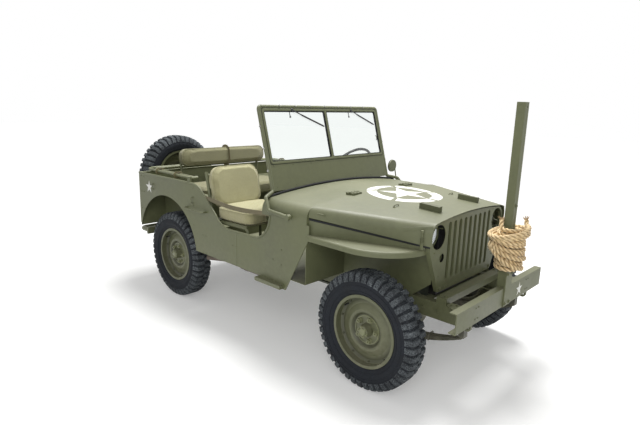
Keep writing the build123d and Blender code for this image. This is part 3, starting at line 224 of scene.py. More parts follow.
def woven(name, colour, pitch, contrast=0.16, fade=0.35):
    """Cotton cloth: threads over and under, faded patches and a soft sheen."""
    material, tree, shader = new_finish(name, 0.9, Sheen_Weight=0.18, Sheen_Roughness=0.6)
    where = object_place(tree)
    threads = node(tree, "ShaderNodeVectorMath", {0: where, "Scale": 2 * math.pi / pitch}, operation="SCALE")
    waves = node(tree, "ShaderNodeVectorMath", {0: threads.outputs[0]}, operation="SINE")
    x, y, z = node(tree, "ShaderNodeSeparateXYZ", {0: waves.outputs[0]}).outputs[:3]
    cloth = times(tree, times(tree, times(tree, x, y), times(tree, y, z), "ADD"), times(tree, z, x), "ADD")
    cloth = spread(tree, cloth, -1.0, 1.0)
    broad = speckle(tree, where, 0.16, 4.0)
    slub = speckle(tree, where, 0.012, 3.0)
    tone = mix_colours(tree, spread(tree, broad, 0.32, 0.7, 0.0, fade), colour, shade(colour, 1.45))
    tone = mix_colours(tree, spread(tree, slub, 0.35, 0.7, 0.0, 0.3), tone, shade(colour, 0.75))
    tone = mix_colours(tree, times(tree, cloth, contrast), tone, shade(colour, 0.5))
    tree.links.new(tone, shader.inputs["Base Color"])
    bumped(tree, shader, times(tree, cloth, times(tree, slub, 1.5), "ADD"), 0.0005)
    return material


def fibrous(name, colour):
    """Twisted natural fibre: fine streaks along the yarns, read from the rope's own map, and painted shade in the
    grooves between the strands.
    """
    material, tree, shader = new_finish(name, 0.85, Sheen_Weight=0.2)
    lay = node(tree, "ShaderNodeUVMap", uv_map="lay").outputs[0]
    streaks = node(tree, "ShaderNodeMapping", {0: lay, "Scale": (26.0, 62.0, 1.0)})
    inputs = {"Vector": streaks.outputs[0], "Scale": 1.0, "Detail": 4.0}
    yarn = node(tree, "ShaderNodeTexNoise", inputs).outputs[0]
    where = object_place(tree)
    patch = speckle(tree, where, 0.05, 3.0)
    groove_shade = node(tree, "ShaderNodeAttribute", attribute_name="crest").outputs["Fac"]
    tone = mix_colours(tree, spread(tree, yarn, 0.3, 0.7), shade(colour, 0.62), shade(colour, 1.28))
    tone = mix_colours(tree, spread(tree, patch, 0.35, 0.7, 0.0, 0.4), tone, (0.80, 0.66, 0.44))
    # Painted shade: the grooves between the strands, where the crest value is low, are darkened towards deep brown
    tone = mix_colours(tree, spread(tree, groove_shade, 0.55, 0.0, 0.0, 0.7), tone, (0.27, 0.15, 0.055))
    tree.links.new(tone, shader.inputs["Base Color"])
    bumped(tree, shader, yarn, 0.0022)
    return material


def clear_glass(name, tint):
    """Thin clear glass with a few faint wiped smears."""
    material, tree, shader = new_finish(name, 0.02, Transmission_Weight=1.0, IOR=1.46)
    shader.inputs["Base Color"].default_value = (*tint, 1)
    where = object_place(tree)
    smear = speckle(tree, where, 0.12, 5.0)
    tree.links.new(spread(tree, smear, 0.4, 0.8, 0.01, 0.09), shader.inputs["Roughness"])
    return material


def plain_metal(name, colour, roughness, metallic=1.0, grain=0.006):
    """Metal or enamel with a slightly uneven polish."""
    material, tree, shader = new_finish(name, roughness, Metallic=metallic)
    where = object_place(tree)
    cloud = speckle(tree, where, 0.05, 4.0)
    tone = mix_colours(tree, spread(tree, cloud, 0.3, 0.7), shade(colour, 0.8), shade(colour, 1.15))
    tree.links.new(tone, shader.inputs["Base Color"])
    polish = spread(tree, cloud, 0.3, 0.7, roughness * 0.8, roughness * 1.3)
    tree.links.new(polish, shader.inputs["Roughness"])
    bumped(tree, shader, speckle(tree, where, grain, 3.0), 0.0002)
    return material


FINISH = {
    "body_paint": painted("drab_body_paint", OLIVE),
    # Nuts, studs, hub bolts and hub caps: the olive made much lighter, a painted highlight
    "nut_paint": painted("light_nut_paint_painted_highlight", shade(OLIVE, 1.45), 0.38, 0.3),
    "post_paint": painted("drab_post_paint", shade(OLIVE, 1.08), 0.5, 0.3),
    "running_gear": painted("dark_running_gear_paint", (0.050, 0.054, 0.032), 0.55, 0.5),
    "spring_steel": painted("dark_spring_paint", (0.042, 0.044, 0.030), 0.5, 0.5),
    "engine_iron": painted("grey_green_engine_paint", (0.095, 0.112, 0.085), 0.5, 0.35),
    "exhaust_steel": painted("heat_stained_steel", (0.105, 0.080, 0.062), 0.6, 0.35),
    "radiator_black": painted("black_radiator_paint", (0.014, 0.014, 0.014), 0.5, 0.2, False),
    "block_wood": painted("drab_painted_wood", shade(OLIVE, 0.78), 0.6, 0.35),
    "tyre_rubber": rubbery("tyre_rubber", (0.0095, 0.0115, 0.0155), 0.9),
    "seal_rubber": rubbery("seal_rubber", (0.018, 0.019, 0.020), 0.25),
    "canvas": woven("olive_seat_canvas", (0.365, 0.343, 0.186), 0.0016),
    # The rear cushions' canvas: the seat canvas at about half its brightness, painted shade
    "rear_canvas": woven("olive_rear_canvas_painted_shade", (0.180, 0.172, 0.086), 0.0016),
    "webbing": woven("cotton_webbing", (0.250, 0.225, 0.130), 0.0026, 0.3),
    "band_webbing": woven("dark_cotton_webbing", (0.140, 0.118, 0.052), 0.0026, 0.3),
    "thread": woven("seam_thread", (0.150, 0.138, 0.075), 0.0008),
    "rope": fibrous("manila_rope", (0.82, 0.60, 0.32)),
    "screen_glass": clear_glass("screen_glass", (0.90, 0.94, 0.92)),
    "lens_glass": clear_glass("lens_glass", (0.95, 0.97, 0.97)),
    "reflector": plain_metal("silver_reflector", (0.92, 0.93, 0.94), 0.30),
    "mirror_face": plain_metal("mirror_face", (0.86, 0.88, 0.89), 0.04),
    "bright_steel": plain_metal("worn_steel", (0.42, 0.42, 0.40), 0.38),
    "black_steel": plain_metal("black_enamelled_steel", (0.016, 0.016, 0.017), 0.38, 0.0),
    "white_paint": painted("white_marking_paint", (0.76, 0.76, 0.72), 0.55, 0.12),
    "dial_white": plain_metal("dial_white", (0.7, 0.7, 0.64), 0.5, 0.0),
    "tail_red": plain_metal("red_lens", (0.34, 0.012, 0.010), 0.12, 0.0),
}


# One wheel paint for each wheel, since the painted shade in its hollows lies about its own axle
for spot, (tyre_node, _, _, turn_out) in WHEELS.items():
    across_axle = (0, 1, 1) if turn_out == 90 else (1, 0, 1)
    FINISH[f"wheel_paint_{spot}"] = painted(f"drab_wheel_paint_{spot}", shade(OLIVE, 0.86), 0.44, 0.3,
                                            axle=(node_middle(tyre_node), across_axle))

# Material slots of the finishes that are not named as their slot
SLOTS = {
    "nut_paint": "wheel_paint", "post_paint": "body_paint", "white_paint": "body_paint",
    "seal_rubber": "black_steel", "dial_white": "black_steel", "bright_steel": "black_steel",
    "reflector": "lamp_glass", "lens_glass": "lamp_glass", "mirror_face": "screen_glass",
    "rear_canvas": "canvas", "band_webbing": "webbing", "thread": None,
}
SLOTS.update({f"wheel_paint_{spot}": "wheel_paint" for spot in WHEELS})


# Mesh helpers
DOUBLED = 1e-6


def shown(name, data):
    """A new object in the scene."""
    holder = bpy.data.objects.new(name, data)
    bpy.context.scene.collection.objects.link(holder)
    return holder


def worked_out(holder):
    """A plain mesh of an object as its modifiers, curve or letters shape it."""
    seen = holder.evaluated_get(bpy.context.evaluated_depsgraph_get())
    return bpy.data.meshes.new_from_object(seen)


def plain_mesh(name, points, faces=(), edges=()):
    """A mesh from its points, faces and edges."""
    mesh = bpy.data.meshes.new(name)
    mesh.from_pydata([tuple(point) for point in points], edges, faces)
    return mesh


def outward(mesh, merged=False):
    """Turns a mesh's faces outwards, after doubled points are merged where that is asked for."""
    loose = bmesh.new()
    loose.from_mesh(mesh)
    if merged:
        bmesh.ops.remove_doubles(loose, verts=loose.verts, dist=DOUBLED)
    bmesh.ops.recalc_face_normals(loose, faces=loose.faces)
    loose.to_mesh(mesh)
    loose.free()
    return mesh


def skin_over(mesh):
    """A mesh's surface, to lay things on."""
    corners = [vertex.co for vertex in mesh.vertices]
    return BVHTree.FromPolygons(corners, [face.vertices for face in mesh.polygons])


def skin_of(surface):
    """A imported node's surface, to set things on."""
    return skin_over(frame["nodes"][surface].data)


class Form:
    """Points and faces gathered for one piece, with a value for each point and, for a rope, its map."""

    def __init__(self):
        self.points = []
        self.faces = []
        self.values = []
        self.maps = []

    def add(self, points, faces, place=None, value=0.0):
        """Adds a part of the piece, moved by a placing matrix."""
        first = len(self.points)
        place = place or Matrix.Identity(4)
        self.points += [place @ Vector(point) for point in points]
        self.faces += [[first + i for i in face] for face in faces]
        self.values += [value] * len(points)
        return self


def make(name, form, finish, body="chassis", smooth=50.0, replaced=(), slot=None, value_name=None):
    """A finished piece from a form: normals outwards, finish on, riding on its body."""
    mesh = plain_mesh(name, form.points, form.faces)
    if value_name:
        mesh.attributes.new(value_name, "FLOAT", "POINT").data.foreach_set("value", form.values)
    if form.maps:
        layer = mesh.uv_layers.new(name="lay")
        for loop, place in zip(layer.data, form.maps):
            loop.uv = place
    else:
        outward(mesh, merged=True)
    return settle(shown(name, mesh), finish, body, smooth, replaced, slot)


def settle(piece, finish, body="chassis", smooth=50.0, replaced=(), slot=None):
    """Finish, shading, body and replaced nodes of a piece that is in place."""
    piece.data.materials.clear()
    piece.data.materials.append(FINISH[finish])
    piece.data.polygons.foreach_set("use_smooth", [True] * len(piece.data.polygons))
    piece.data.set_sharp_from_angle(angle=math.radians(smooth))
    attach(piece, body)
    if replaced:
        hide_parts(*replaced)
    slot = slot or SLOTS.get(finish, finish)
    return piece


def rings(rows, closed=False, capped=True):
    """Points and faces through rings with the same number of points each."""
    count = len(rows[0])
    points = [point for row in rows for point in row]
    faces = []
    for i in range(len(rows) if closed else len(rows) - 1):
        a, b = i * count, (i + 1) % len(rows) * count
        faces += [[a + j, a + (j + 1) % count, b + (j + 1) % count, b + j] for j in range(count)]
    if capped and not closed:
        faces += [list(range(count))[::-1], [len(points) - count + j for j in range(count)]]
    return points, faces


def turned(profile, steps=48, axis="Y"):
    """A closed profile of (along, radius) points turned about an axis through the origin."""
    rows = []
    for across, up in circle(1.0, steps):
        if axis == "Y":
            rows.append([(radius * across, along, radius * up) for along, radius in profile])
        elif axis == "X":
            rows.append([(along, radius * across, radius * up) for along, radius in profile])
        else:
            rows.append([(radius * across, radius * up, along) for along, radius in profile])
    return rings(rows, closed=True)


def circle(radius, steps, start=0.0):
    """Points of a circle in two directions."""
    angles = [start + 2 * math.pi * i / steps for i in range(steps)]
    return [(radius * math.cos(angle), radius * math.sin(angle)) for angle in angles]


def frames_along(path, closed=False, up=Vector((0, 0, 1))):
    """A tangent and two cross directions at each point of a path, carried along without twisting."""
    path = [Vector(point) for point in path]
    last = len(path) - 1
    frames = []
    side = None
    for i, point in enumerate(path):
        before = path[i - 1] if i or closed else point
        after = path[(i + 1) % len(path)] if i < last or closed else point
        ahead = (after - before).normalized()
        if side is None:
            side = ahead.cross(up)
            side = side if side.length > 0.05 else ahead.cross(Vector((1, 0, 0)))
        side = (side - ahead * side.dot(ahead)).normalized()
        frames.append((point, ahead, side, ahead.cross(side)))
    return frames


def tube(path, radius, sides=10, closed=False, section=None, up=Vector((0, 0, 1))):
    """A round tube, or one with its own section of (across, up) points, along a path."""
    outline = section or circle(radius, sides)
    rows = []
    for point, _, across_way, up_way in frames_along(path, closed, up):
        rows.append([point + across_way * across + up_way * rise for across, rise in outline])
    return rings(rows, closed)


def rounded(corners, radius, steps=5):
    """A path with its inner corners rounded, each by an arc-like curve."""
    corners = [Vector(corner) for corner in corners]
    path = [corners[0]]
    for before, corner, after in zip(corners, corners[1:], corners[2:]):
        reach = min(radius, (before - corner).length / 2, (after - corner).length / 2)
        start = corner + (before - corner).normalized() * reach
        end = corner + (after - corner).normalized() * reach
        for i in range(steps + 1):
            share = i / steps
            path.append(start.lerp(corner, share).lerp(corner.lerp(end, share), share))
    return path + [corners[-1]]


def points_and_faces(loose):
    """Points and faces of a loose mesh, which is then freed."""
    loose.verts.index_update()
    points = [tuple(vertex.co) for vertex in loose.verts]
    faces = [[vertex.index for vertex in face.verts] for face in loose.faces]
    loose.free()
    return points, faces


def block(size, edge):
    """A box about the origin with its edges broken."""
    loose = bmesh.new()
    bmesh.ops.create_cube(loose, size=1.0)
    bmesh.ops.scale(loose, vec=size, verts=loose.verts)
    bmesh.ops.bevel(loose, geom=loose.edges, offset=edge, segments=2, affect="EDGES", clamp_overlap=True)
    return points_and_faces(loose)


def round_cornered(half_x, half_y, corner, steps=6):
    """Points of a rectangle about the origin with round corners."""
    outline = []
    for sign_x, sign_y, start in ((1, 1, 0), (-1, 1, 90), (-1, -1, 180), (1, -1, 270)):
        for i in range(steps + 1):
            angle = math.radians(start + 90 * i / steps)
            outline.append((sign_x * (half_x - corner) + corner * math.cos(angle),
                            sign_y * (half_y - corner) + corner * math.sin(angle)))
    return outline


def lathed(name, profile, place, finish, steps=48, axis="X", **details):
    """A piece that is one turned profile."""
    return make(name, Form().add(*turned(profile, steps, axis), place), finish, **details)


# Geometry node trees for what repeats
def new_tree(name, sizes):
    """An empty tree with a geometry input, named sizes and a material input."""
    tree = bpy.data.node_groups.new(name, "GeometryNodeTree")
    tree.interface.new_socket("Geometry", in_out="INPUT", socket_type="NodeSocketGeometry")
    for size, kind in sizes.items():
        tree.interface.new_socket(size, in_out="INPUT", socket_type=f"NodeSocket{kind}")
    tree.interface.new_socket("Finish", in_out="INPUT", socket_type="NodeSocketMaterial")
    tree.interface.new_socket("Geometry", in_out="OUTPUT", socket_type="NodeSocketGeometry")
    return tree, node(tree, "NodeGroupInput").outputs


def end_tree(tree, given, instances):
    """Closes a tree with real geometry and its material."""
    real = node(tree, "GeometryNodeRealizeInstances", {0: instances}).outputs[0]
    done = node(tree, "GeometryNodeSetMaterial", {"Geometry": real, "Material": given["Finish"]}).outputs[0]
    node(tree, "NodeGroupOutput", {0: done})
    return tree


def cone(tree, sides, top, bottom, depth):
    """A cone, or a drum where both radii are the same."""
    inputs = {"Vertices": sides, "Radius Top": top, "Radius Bottom": bottom, "Depth": depth}
    return node(tree, "GeometryNodeMeshCone", inputs).outputs[0]


def turned_to(tree, way):
    """The turn that brings a copy's Z axis to a direction."""
    return node(tree, "FunctionNodeAlignRotationToVector", {"Vector": way}, axis="Z").outputs[0]


def copies_on(tree, points, shape, turn=None):
    """Copies of a shape on points, turned where a turn is given."""
    inputs = {"Points": points, "Instance": shape}
    if turn:
        inputs["Rotation"] = turn
    return node(tree, "GeometryNodeInstanceOnPoints", inputs).outputs[0]


def stud_tree():
    """A head and a washer on each point, standing along the point's own way."""
    sizes = {"Sides": "Int", "Width": "Float", "Height": "Float", "Washer": "Float"}
    tree, given = new_tree("studs_on_points", sizes)
    half = times(tree, given["Width"], 0.5)
    ring = times(tree, half, given["Washer"])
    head = cone(tree, given["Sides"], times(tree, half, 0.84), half, given["Height"])
    washer = cone(tree, 16, ring, ring, times(tree, given["Height"], 0.22))
    both = node(tree, "GeometryNodeJoinGeometry")
    tree.links.new(head, both.inputs[0])
    tree.links.new(washer, both.inputs[0])
    way = node(tree, "GeometryNodeInputNamedAttribute", {"Name": "way"}, data_type="FLOAT_VECTOR").outputs[0]
    return end_tree(tree, given, copies_on(tree, given["Geometry"], both.outputs[0], turned_to(tree, way)))


def round_tree():
    """Copies of a shape turned about the Y axis in equal steps."""
    tree, given = new_tree("copies_round_axle", {"Count": "Int"})
    points = node(tree, "GeometryNodePoints", {"Count": given["Count"]}).outputs[0]
    step = times(tree, 2 * math.pi, given["Count"], "DIVIDE")
    angle = times(tree, node(tree, "GeometryNodeInputIndex").outputs[0], step)
    turn = node(tree, "ShaderNodeCombineXYZ", {"Y": angle}).outputs[0]
    return end_tree(tree, given, copies_on(tree, points, given["Geometry"], turn))


def row_tree():
    """Copies of a shape in a straight row."""
    tree, given = new_tree("copies_in_row", {"Count": "Int", "Step": "Vector"})
    line = node(tree, "GeometryNodeMeshLine", {"Count": given["Count"], "Offset": given["Step"]}).outputs[0]
    return end_tree(tree, given, copies_on(tree, line, given["Geometry"]))


def stitch_tree():
    """Short threads in a row along a line of edges."""
    tree, given = new_tree("stitches_along_line", {"Step": "Float", "Thread": "Float"})
    curve = node(tree, "GeometryNodeMeshToCurve", {"Mesh": given["Geometry"]}).outputs[0]
    spacing = {"Curve": curve, "Length": given["Step"]}
    even = node(tree, "GeometryNodeResampleCurve", spacing, mode="LENGTH").outputs[0]
    sizes = {"Vertices": 6, "Radius": given["Thread"], "Depth": times(tree, given["Step"], 0.62)}
    thread = node(tree, "GeometryNodeMeshCylinder", sizes).outputs[0]
    ahead = node(tree, "GeometryNodeInputTangent").outputs[0]
    return end_tree(tree, given, copies_on(tree, even, thread, turned_to(tree, ahead)))


def hair_tree():
    """Loose fibres standing off a surface in seeded places."""
    sizes = {"Density": "Float", "Length": "Float", "Thickness": "Float", "Seed": "Int"}
    tree, given = new_tree("loose_fibres", sizes)
    scatter = {"Mesh": given["Geometry"], "Density": given["Density"], "Seed": given["Seed"]}
    spots = node(tree, "GeometryNodeDistributePointsOnFaces", scatter)
    corners = {"Min": (-1.0, -1.0, -1.0), "Max": (1.0, 1.0, 1.0), "Seed": given["Seed"]}
    lean = node(tree, "FunctionNodeRandomValue", corners, data_type="FLOAT_VECTOR").outputs[0]
    leaning = {0: spots.outputs["Normal"], 1: lean}
    way = node(tree, "ShaderNodeVectorMath", leaning, operation="ADD").outputs[0]
    fibre = cone(tree, 4, 0.0001, given["Thickness"], given["Length"])
    return end_tree(tree, given, copies_on(tree, spots.outputs[0], fibre, turned_to(tree, way)))


TREES = {
    "stud": stud_tree(),
    "round": round_tree(),
    "row": row_tree(),
    "stitch": stitch_tree(),
    "hair": hair_tree(),
}


def grow(name, mesh, tree_name, finish, **sizes):
    """A plain mesh object grown from a starting mesh by a tree."""
    piece = shown(name, mesh)
    tree = TREES[tree_name]
    modifier = piece.modifiers.new("grow", "NODES")
    modifier.node_group = tree
    sizes["Finish"] = FINISH[finish]
    for socket in tree.interface.items_tree:
        if socket.in_out == "INPUT" and socket.name in sizes:
            modifier[socket.identifier] = sizes[socket.name]
    plain = worked_out(piece)
    piece.modifiers.clear()
    piece.data = plain
    return piece


def studs(name, spots, finish, width, height, sides=6, washer=1.5, body="chassis"):
    """Bolt heads, rivets or nuts at places with the ways they stand."""
    mesh = plain_mesh(name, [place for place, _ in spots])
    ways = [part for _, way in spots for part in way]
    mesh.attributes.new("way", "FLOAT_VECTOR", "POINT").data.foreach_set("vector", ways)
    piece = grow(name, mesh, "stud", finish, Sides=sides, Width=width, Height=height, Washer=washer)
    return settle(piece, finish, body, smooth=25.0)


def stitches(name, lines, step=0.006, thread=0.0006):
    """Rows of stitches on the chassis along lines of points."""
    points = []
    edges = []
    for line in lines:
        edges += [(len(points) + i, len(points) + i + 1) for i in range(len(line) - 1)]
        points += line
    mesh = plain_mesh(name, points, edges=edges)
    return settle(grow(name, mesh, "stitch", "thread", Step=step, Thread=thread), "thread", smooth=35.0)


def rivets(name, spots, width, height, body="chassis"):
    """Painted rivet heads without washers."""
    return studs(name, spots, "body_paint", width, height, 12, 1.0, body)


# Rope hank round the post
POST_AT = at(506, 28, 0)
PINCH_WAY = Vector((-0.727, -0.686, 0))
FRONT_WAY = Vector((0.681, -0.732, 0))
ROPE_DIAMETER = 0.028
ROPE_STEP = 0.0065
LAY_LENGTH = 3.1 * ROPE_DIAMETER
STRAND_RADIUS = 0.27 * ROPE_DIAMETER
POINTS_A_TURN = 14
INNER_TURNS = 8.5
FAN_TURNS = 7.0
COLLAR_TURNS = 2.5
# Heights of the fan's first and last turn, at the pinch and on its far side
PINCH_LOW, PINCH_HIGH = 0.866, 0.914
FAN_LOW, FAN_HIGH = 0.714, 0.915
INNER_REACH = (0.058, 0.070)
FAN_REACH = (0.088, 0.099)
COLLAR_REACH = (0.105, 0.116)


def round_post(turns, reach, height, push=0.0):
    """A place round the post: turns from the pinch, half sizes along X and Y, and the height."""
    angle = 2 * math.pi * turns
    way = PINCH_WAY * math.cos(angle) + FRONT_WAY * math.sin(angle)
    spot = POST_AT + Vector((way.x * (reach[0] + push), way.y * (reach[1] + push), 0))
    spot.z = height
    return spot


def grown(inner, outer, share):
    """Half sizes part of the way from one layer's to the next one's."""
    return [a + (b - a) * share for a, b in zip(inner, outer)]


def rope_route():
    """The rope's points: down in an inner layer, up in a loose fan, round in a collar and out."""
    step = 1 / POINTS_A_TURN
    route = [round_post(0.0, (0.050, 0.060), 1.012), round_post(0.03, (0.054, 0.066), 0.990)]
    for i in range(1, int(INNER_TURNS * POINTS_A_TURN) + 1):
        turns = i * step
        route.append(round_post(turns, INNER_REACH, 0.966 - 0.029 * turns))
    start = INNER_TURNS
    for i in range(1, int((FAN_TURNS + 0.5) * POINTS_A_TURN) + 1):
        turns = i * step
        share = min(1.0, max(0.0, (turns - 0.5) / FAN_TURNS))
        widen = min(1.0, turns / 0.5)
        at_pinch = PINCH_LOW + (PINCH_HIGH - PINCH_LOW) * share
        far = FAN_LOW + (FAN_HIGH - FAN_LOW) * share
        opened = abs(math.sin(math.pi * (start + turns))) ** 0.85
        wander = 0.004 * math.sin(2.3 * turns + 0.7) + 0.003 * math.sin(5.1 * turns)
        push = 0.012 * math.cos(math.pi * (turns - 0.5)) * widen + wander
        height = at_pinch + (far - at_pinch) * opened + wander
        route.append(round_post(start + turns, grown(INNER_REACH, FAN_REACH, widen), height, push))
    start += FAN_TURNS + 0.5
    for i in range(1, int(COLLAR_TURNS * POINTS_A_TURN) + 1):
        turns = i * step
        reach = grown(FAN_REACH, COLLAR_REACH, min(1.0, turns / 0.4))
        tilt = (1 - math.cos(2 * math.pi * (start + turns))) / 2
        height = 0.908 + 0.005 * turns + (0.026 + 0.012 * turns) * tilt
        route.append(round_post(start + turns, reach, height, 0.006 * math.cos(math.pi * turns)))
    last = start + COLLAR_TURNS
    route += [round_post(last + 0.04, COLLAR_REACH, 0.978), round_post(last + 0.055, (0.112, 0.122), 1.006)]
    return route


def smooth_line(name, route):
    """Points read from one smooth spline through a route's control points."""
    curve = bpy.data.curves.new(name, "CURVE")
    curve.dimensions = "3D"
    curve.resolution_u = 4
    spline = curve.splines.new("NURBS")
    spline.points.add(len(route) - 1)
    for point, place in zip(spline.points, route):
        point.co = (*place, 1.0)
    spline.order_u = 3
    spline.use_endpoint_u = True
    holder = shown(name, curve)
    points = [vertex.co.copy() for vertex in worked_out(holder).vertices]
    bpy.data.objects.remove(holder)
    return points


def evenly(path, step):
    """A path's points again, an even step apart."""
    path = [Vector(point) for point in path]
    out = [path[0]]
    left = step
    for a, b in zip(path, path[1:]):
        length = (b - a).length
        run = 0.0
        while length - run > left:
            run += left
            out.append(a.lerp(b, run / length))
            left = step
        left -= length - run
    return out


def rope():
    """Three-strand rope wound on the post, with opened ends and loose fibres."""
    line = evenly(smooth_line("rope_line", rope_route()), ROPE_STEP)
    around = 24
    off = ROPE_DIAMETER / 2 - STRAND_RADIUS
    form = Form()
    rows = []
    crests = []
    for i, (point, _, side, up) in enumerate(frames_along(line)):
        twist = 2 * math.pi * i * ROPE_STEP / LAY_LENGTH
        row = []
        for j in range(around):
            angle = 2 * math.pi * j / around
            near = (angle - twist + math.pi / 3) % (2 * math.pi / 3) - math.pi / 3
            bulge = math.sqrt(max(0.0, STRAND_RADIUS ** 2 - (off * math.sin(near)) ** 2))
            reach = off * math.cos(near) + bulge
            row.append(point + (side * math.cos(angle) + up * math.sin(angle)) * reach)
            # The crest value: 1 on a strand's crest and lower in the grooves, which the rope's finish darkens as
            # painted shade
            crests.append((reach / (ROPE_DIAMETER / 2) - 0.8) / 0.2)
        rows.append(row)
    form.add(*rings(rows))
    form.values = crests
    for face in form.faces:
        for corner in face:
            ring, spot = divmod(corner, around)
            along = ring * ROPE_STEP
            form.maps.append(((spot / around - along / LAY_LENGTH) % 1.0 * 0.5, along))
    piece = make("rope", form, "rope", smooth=60.0, replaced=["rope_hank"], value_name="crest")
    rope_ends(line)
    sizes = {"Density": 900.0, "Length": 0.011, "Thickness": 0.00035, "Seed": 7}
    settle(grow("rope_fibres", piece.data.copy(), "hair", "rope", **sizes), "rope", smooth=35.0)


def rope_ends(line):
    """Opened yarns at both ends of the rope."""
    random.seed(11)
    form = Form()
    for end, inner in ((line[0], line[4]), (line[-1], line[-5])):
        way = (end - inner).normalized()
        side = way.orthogonal().normalized()
        for _ in range(44):
            angle = random.uniform(0, 2 * math.pi)
            out = side * math.cos(angle) + way.cross(side) * math.sin(angle)
            root = end - way * 0.004 + out * random.uniform(0.001, 0.011)
            length = random.uniform(0.012, 0.030)
            bend = out * random.uniform(0.1, 0.75) * length
            path = [root, root + way * length * 0.5 + bend * 0.3, root + way * length + bend]
            form.add(*tube(path, 0.0009, 4))
    make("rope_end_yarns", form, "rope", smooth=60.0)


rope()


# Tyres: a smooth carcass with bars that run over the shoulders
LUG_COUNT = 44
WORN_FROM = 0.335
SIDE_BEADS = ((75.6, 313), (73.9, 247), (78.6, 281))
SIDEWALL = (
    (0, 344.5), (32, 344), (53, 341), (63, 332), (70, 317), (75, 300), (78, 282), (77, 262), (71, 242),
    (63, 229), (57, 222), (56, 209),
)
# One bar's ridge: across the tread, distance from the axle, way out in degrees, depth
LUG_RIDGE = (
    (3, 357.8, 90, 16), (28, 357.6, 88, 16), (49, 356.6, 80, 17), (60, 352.5, 58, 17), (69.5, 340, 34, 13),
    (75.5, 322, 16, 9), (78.6, 303, 6, 4),
)
# Studs of a wheel: circle, count, first angle, distance out, width, height, sides and washer
WHEEL_STUDS = {
    "hub_bolts": (0.029, 6, 0.3, 0.0612, 0.011, 0.007, 6, 1.5),
    "wheel_nuts": (0.06985, 5, math.pi, 0.0142, 0.034, 0.020, 6, 1.15),
    "wheel_studs": (0.06985, 5, math.pi, 0.0342, 0.0135, 0.008, 12, 1.0),
    "disc_rivets": (0.194, 10, 0.2, 0.0145, 0.012, 0.005, 12, 1.05),
}


def softened(points, steps=3):
    """A line through points with smooth stretches between them."""
    points = [Vector(point) for point in points]
    out = []
    for i in range(len(points) - 1):
        before = points[max(i - 1, 0)]
        a, b = points[i], points[i + 1]
        after = points[min(i + 2, len(points) - 1)]
        for j in range(steps):
            t = j / steps
            out.append(0.5 * (2 * a + (b - before) * t + (2 * before - 5 * a + 4 * b - after) * t * t
                              + (3 * a - before - 3 * b + after) * t ** 3))
    return out + [points[-1]]


def lug_form():
    """A bar on each side of the tread's middle, half a step apart."""
    form = Form()
    stagger = math.pi / LUG_COUNT
    for side, shift in ((1, 0.0), (-1, stagger)):
        rows = []
        for i, (along, reach, way, depth) in enumerate(LUG_RIDGE):
            half = 14.0 + 0.35 * i
            out_y, out_z = math.cos(math.radians(way)), math.sin(math.radians(way))
            section = ((-half - 2.5, depth), (-half, 2.0), (-half + 2, 0), (half - 2, 0), (half, 2.0),
                       (half + 2.5, depth))
            rows.append([(across * MM, side * (along - out_y * sunk) * MM, (reach - out_z * sunk) * MM)
                         for across, sunk in section])
        form.add(*rings(rows), Matrix.Rotation(shift, 4, "Y"), 1.0)
    return form


def lug_mesh():
    """The pair of bars as a starting mesh, marked as worn."""
    form = lug_form()
    mesh = outward(plain_mesh("lug", form.points, form.faces))
    mesh.attributes.new("worn", "FLOAT", "POINT").data.foreach_set("value", form.values)
    return mesh


def tyre(spot, tyre_node, body, place):
    """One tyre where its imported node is: a carcass with three beads on each side, and its bars."""
    half = [(along * MM, reach * MM) for along, reach in softened(SIDEWALL)]
    profile = half + [(-along, reach) for along, reach in reversed(half)][:-1]
    form = Form().add(*turned(profile, 96), place)
    for side in SIDES:
        for along, reach in SIDE_BEADS:
            bead = [(side * along * MM + x, reach * MM + y) for x, y in circle(0.0014, 6)]
            form.add(*turned(bead, 96), place)
    upright = place.inverted()
    form.values = [0.3 if (upright @ point).xz.length > WORN_FROM else 0.0 for point in form.points]
    make(f"tyre_carcass_{spot}", form, "tyre_rubber", body, replaced=[tyre_node], value_name="worn")
    lugs = grow(f"tyre_tread_{spot}", lug_mesh(), "round", "tyre_rubber", Count=LUG_COUNT)
    lugs.data.transform(place)
    settle(lugs, "tyre_rubber", body, smooth=30.0, replaced=[tyre_node])


def wheel_fittings(spot, body, place):
    """Hub bolts, wheel nuts on their studs, disc rivets, hub cap and valve of one wheel."""
    outward_way = (place.to_3x3() @ Vector((0, 1, 0))).normalized()
    for word, (reach, count, start, out, *head) in WHEEL_STUDS.items():
        ring = [place @ Vector((across, out, up)) for across, up in circle(reach, count, start)]
        # Hub bolts, wheel nuts, studs and the hub cap take the lighter nut paint, a painted highlight
        finish = f"wheel_paint_{spot}" if word == "disc_rivets" else "nut_paint"
        studs(f"{word}_{spot}", [(point, outward_way) for point in ring], finish, *head, body)
    cap = [(0.058, 0.0), (0.058, 0.023), (0.0635, 0.021), (0.066, 0.014), (0.067, 0.0)]
    ring = [(0.0135, 0.084), (0.0135, 0.089), (0.0185, 0.087), (0.0185, 0.082)]
    form = Form().add(*turned(cap, 32), place).add(*turned(ring, 48), place)
    make(f"hub_cap_{spot}", form, "nut_paint", body, smooth=35.0)
    valve = ((0.150, 0.012, 0.118), (0.152, 0.030, 0.119), (0.150, 0.048, 0.117))
    stem = tube([place @ Vector(point) for point in valve], 0.0042, 10)
    make(f"valve_{spot}", Form().add(*stem), "seal_rubber", body, smooth=35.0, slot="tyre_rubber")


def wheels():
    """Tyres and wheel fittings at the four corners and on the tail."""
    for spot, (tyre_node, _, body, turn) in WHEELS.items():
        place = placed(node_middle(tyre_node), turn)
        tyre(spot, tyre_node, body, place)
        wheel_fittings(spot, body, place)


wheels()


# Stars painted on the hood, the sides and the bumper
STAR_NOTCH = 0.382
HOOD_STAR, SIDE_STAR, BUMPER_STAR = 0.168, 0.056, 0.046
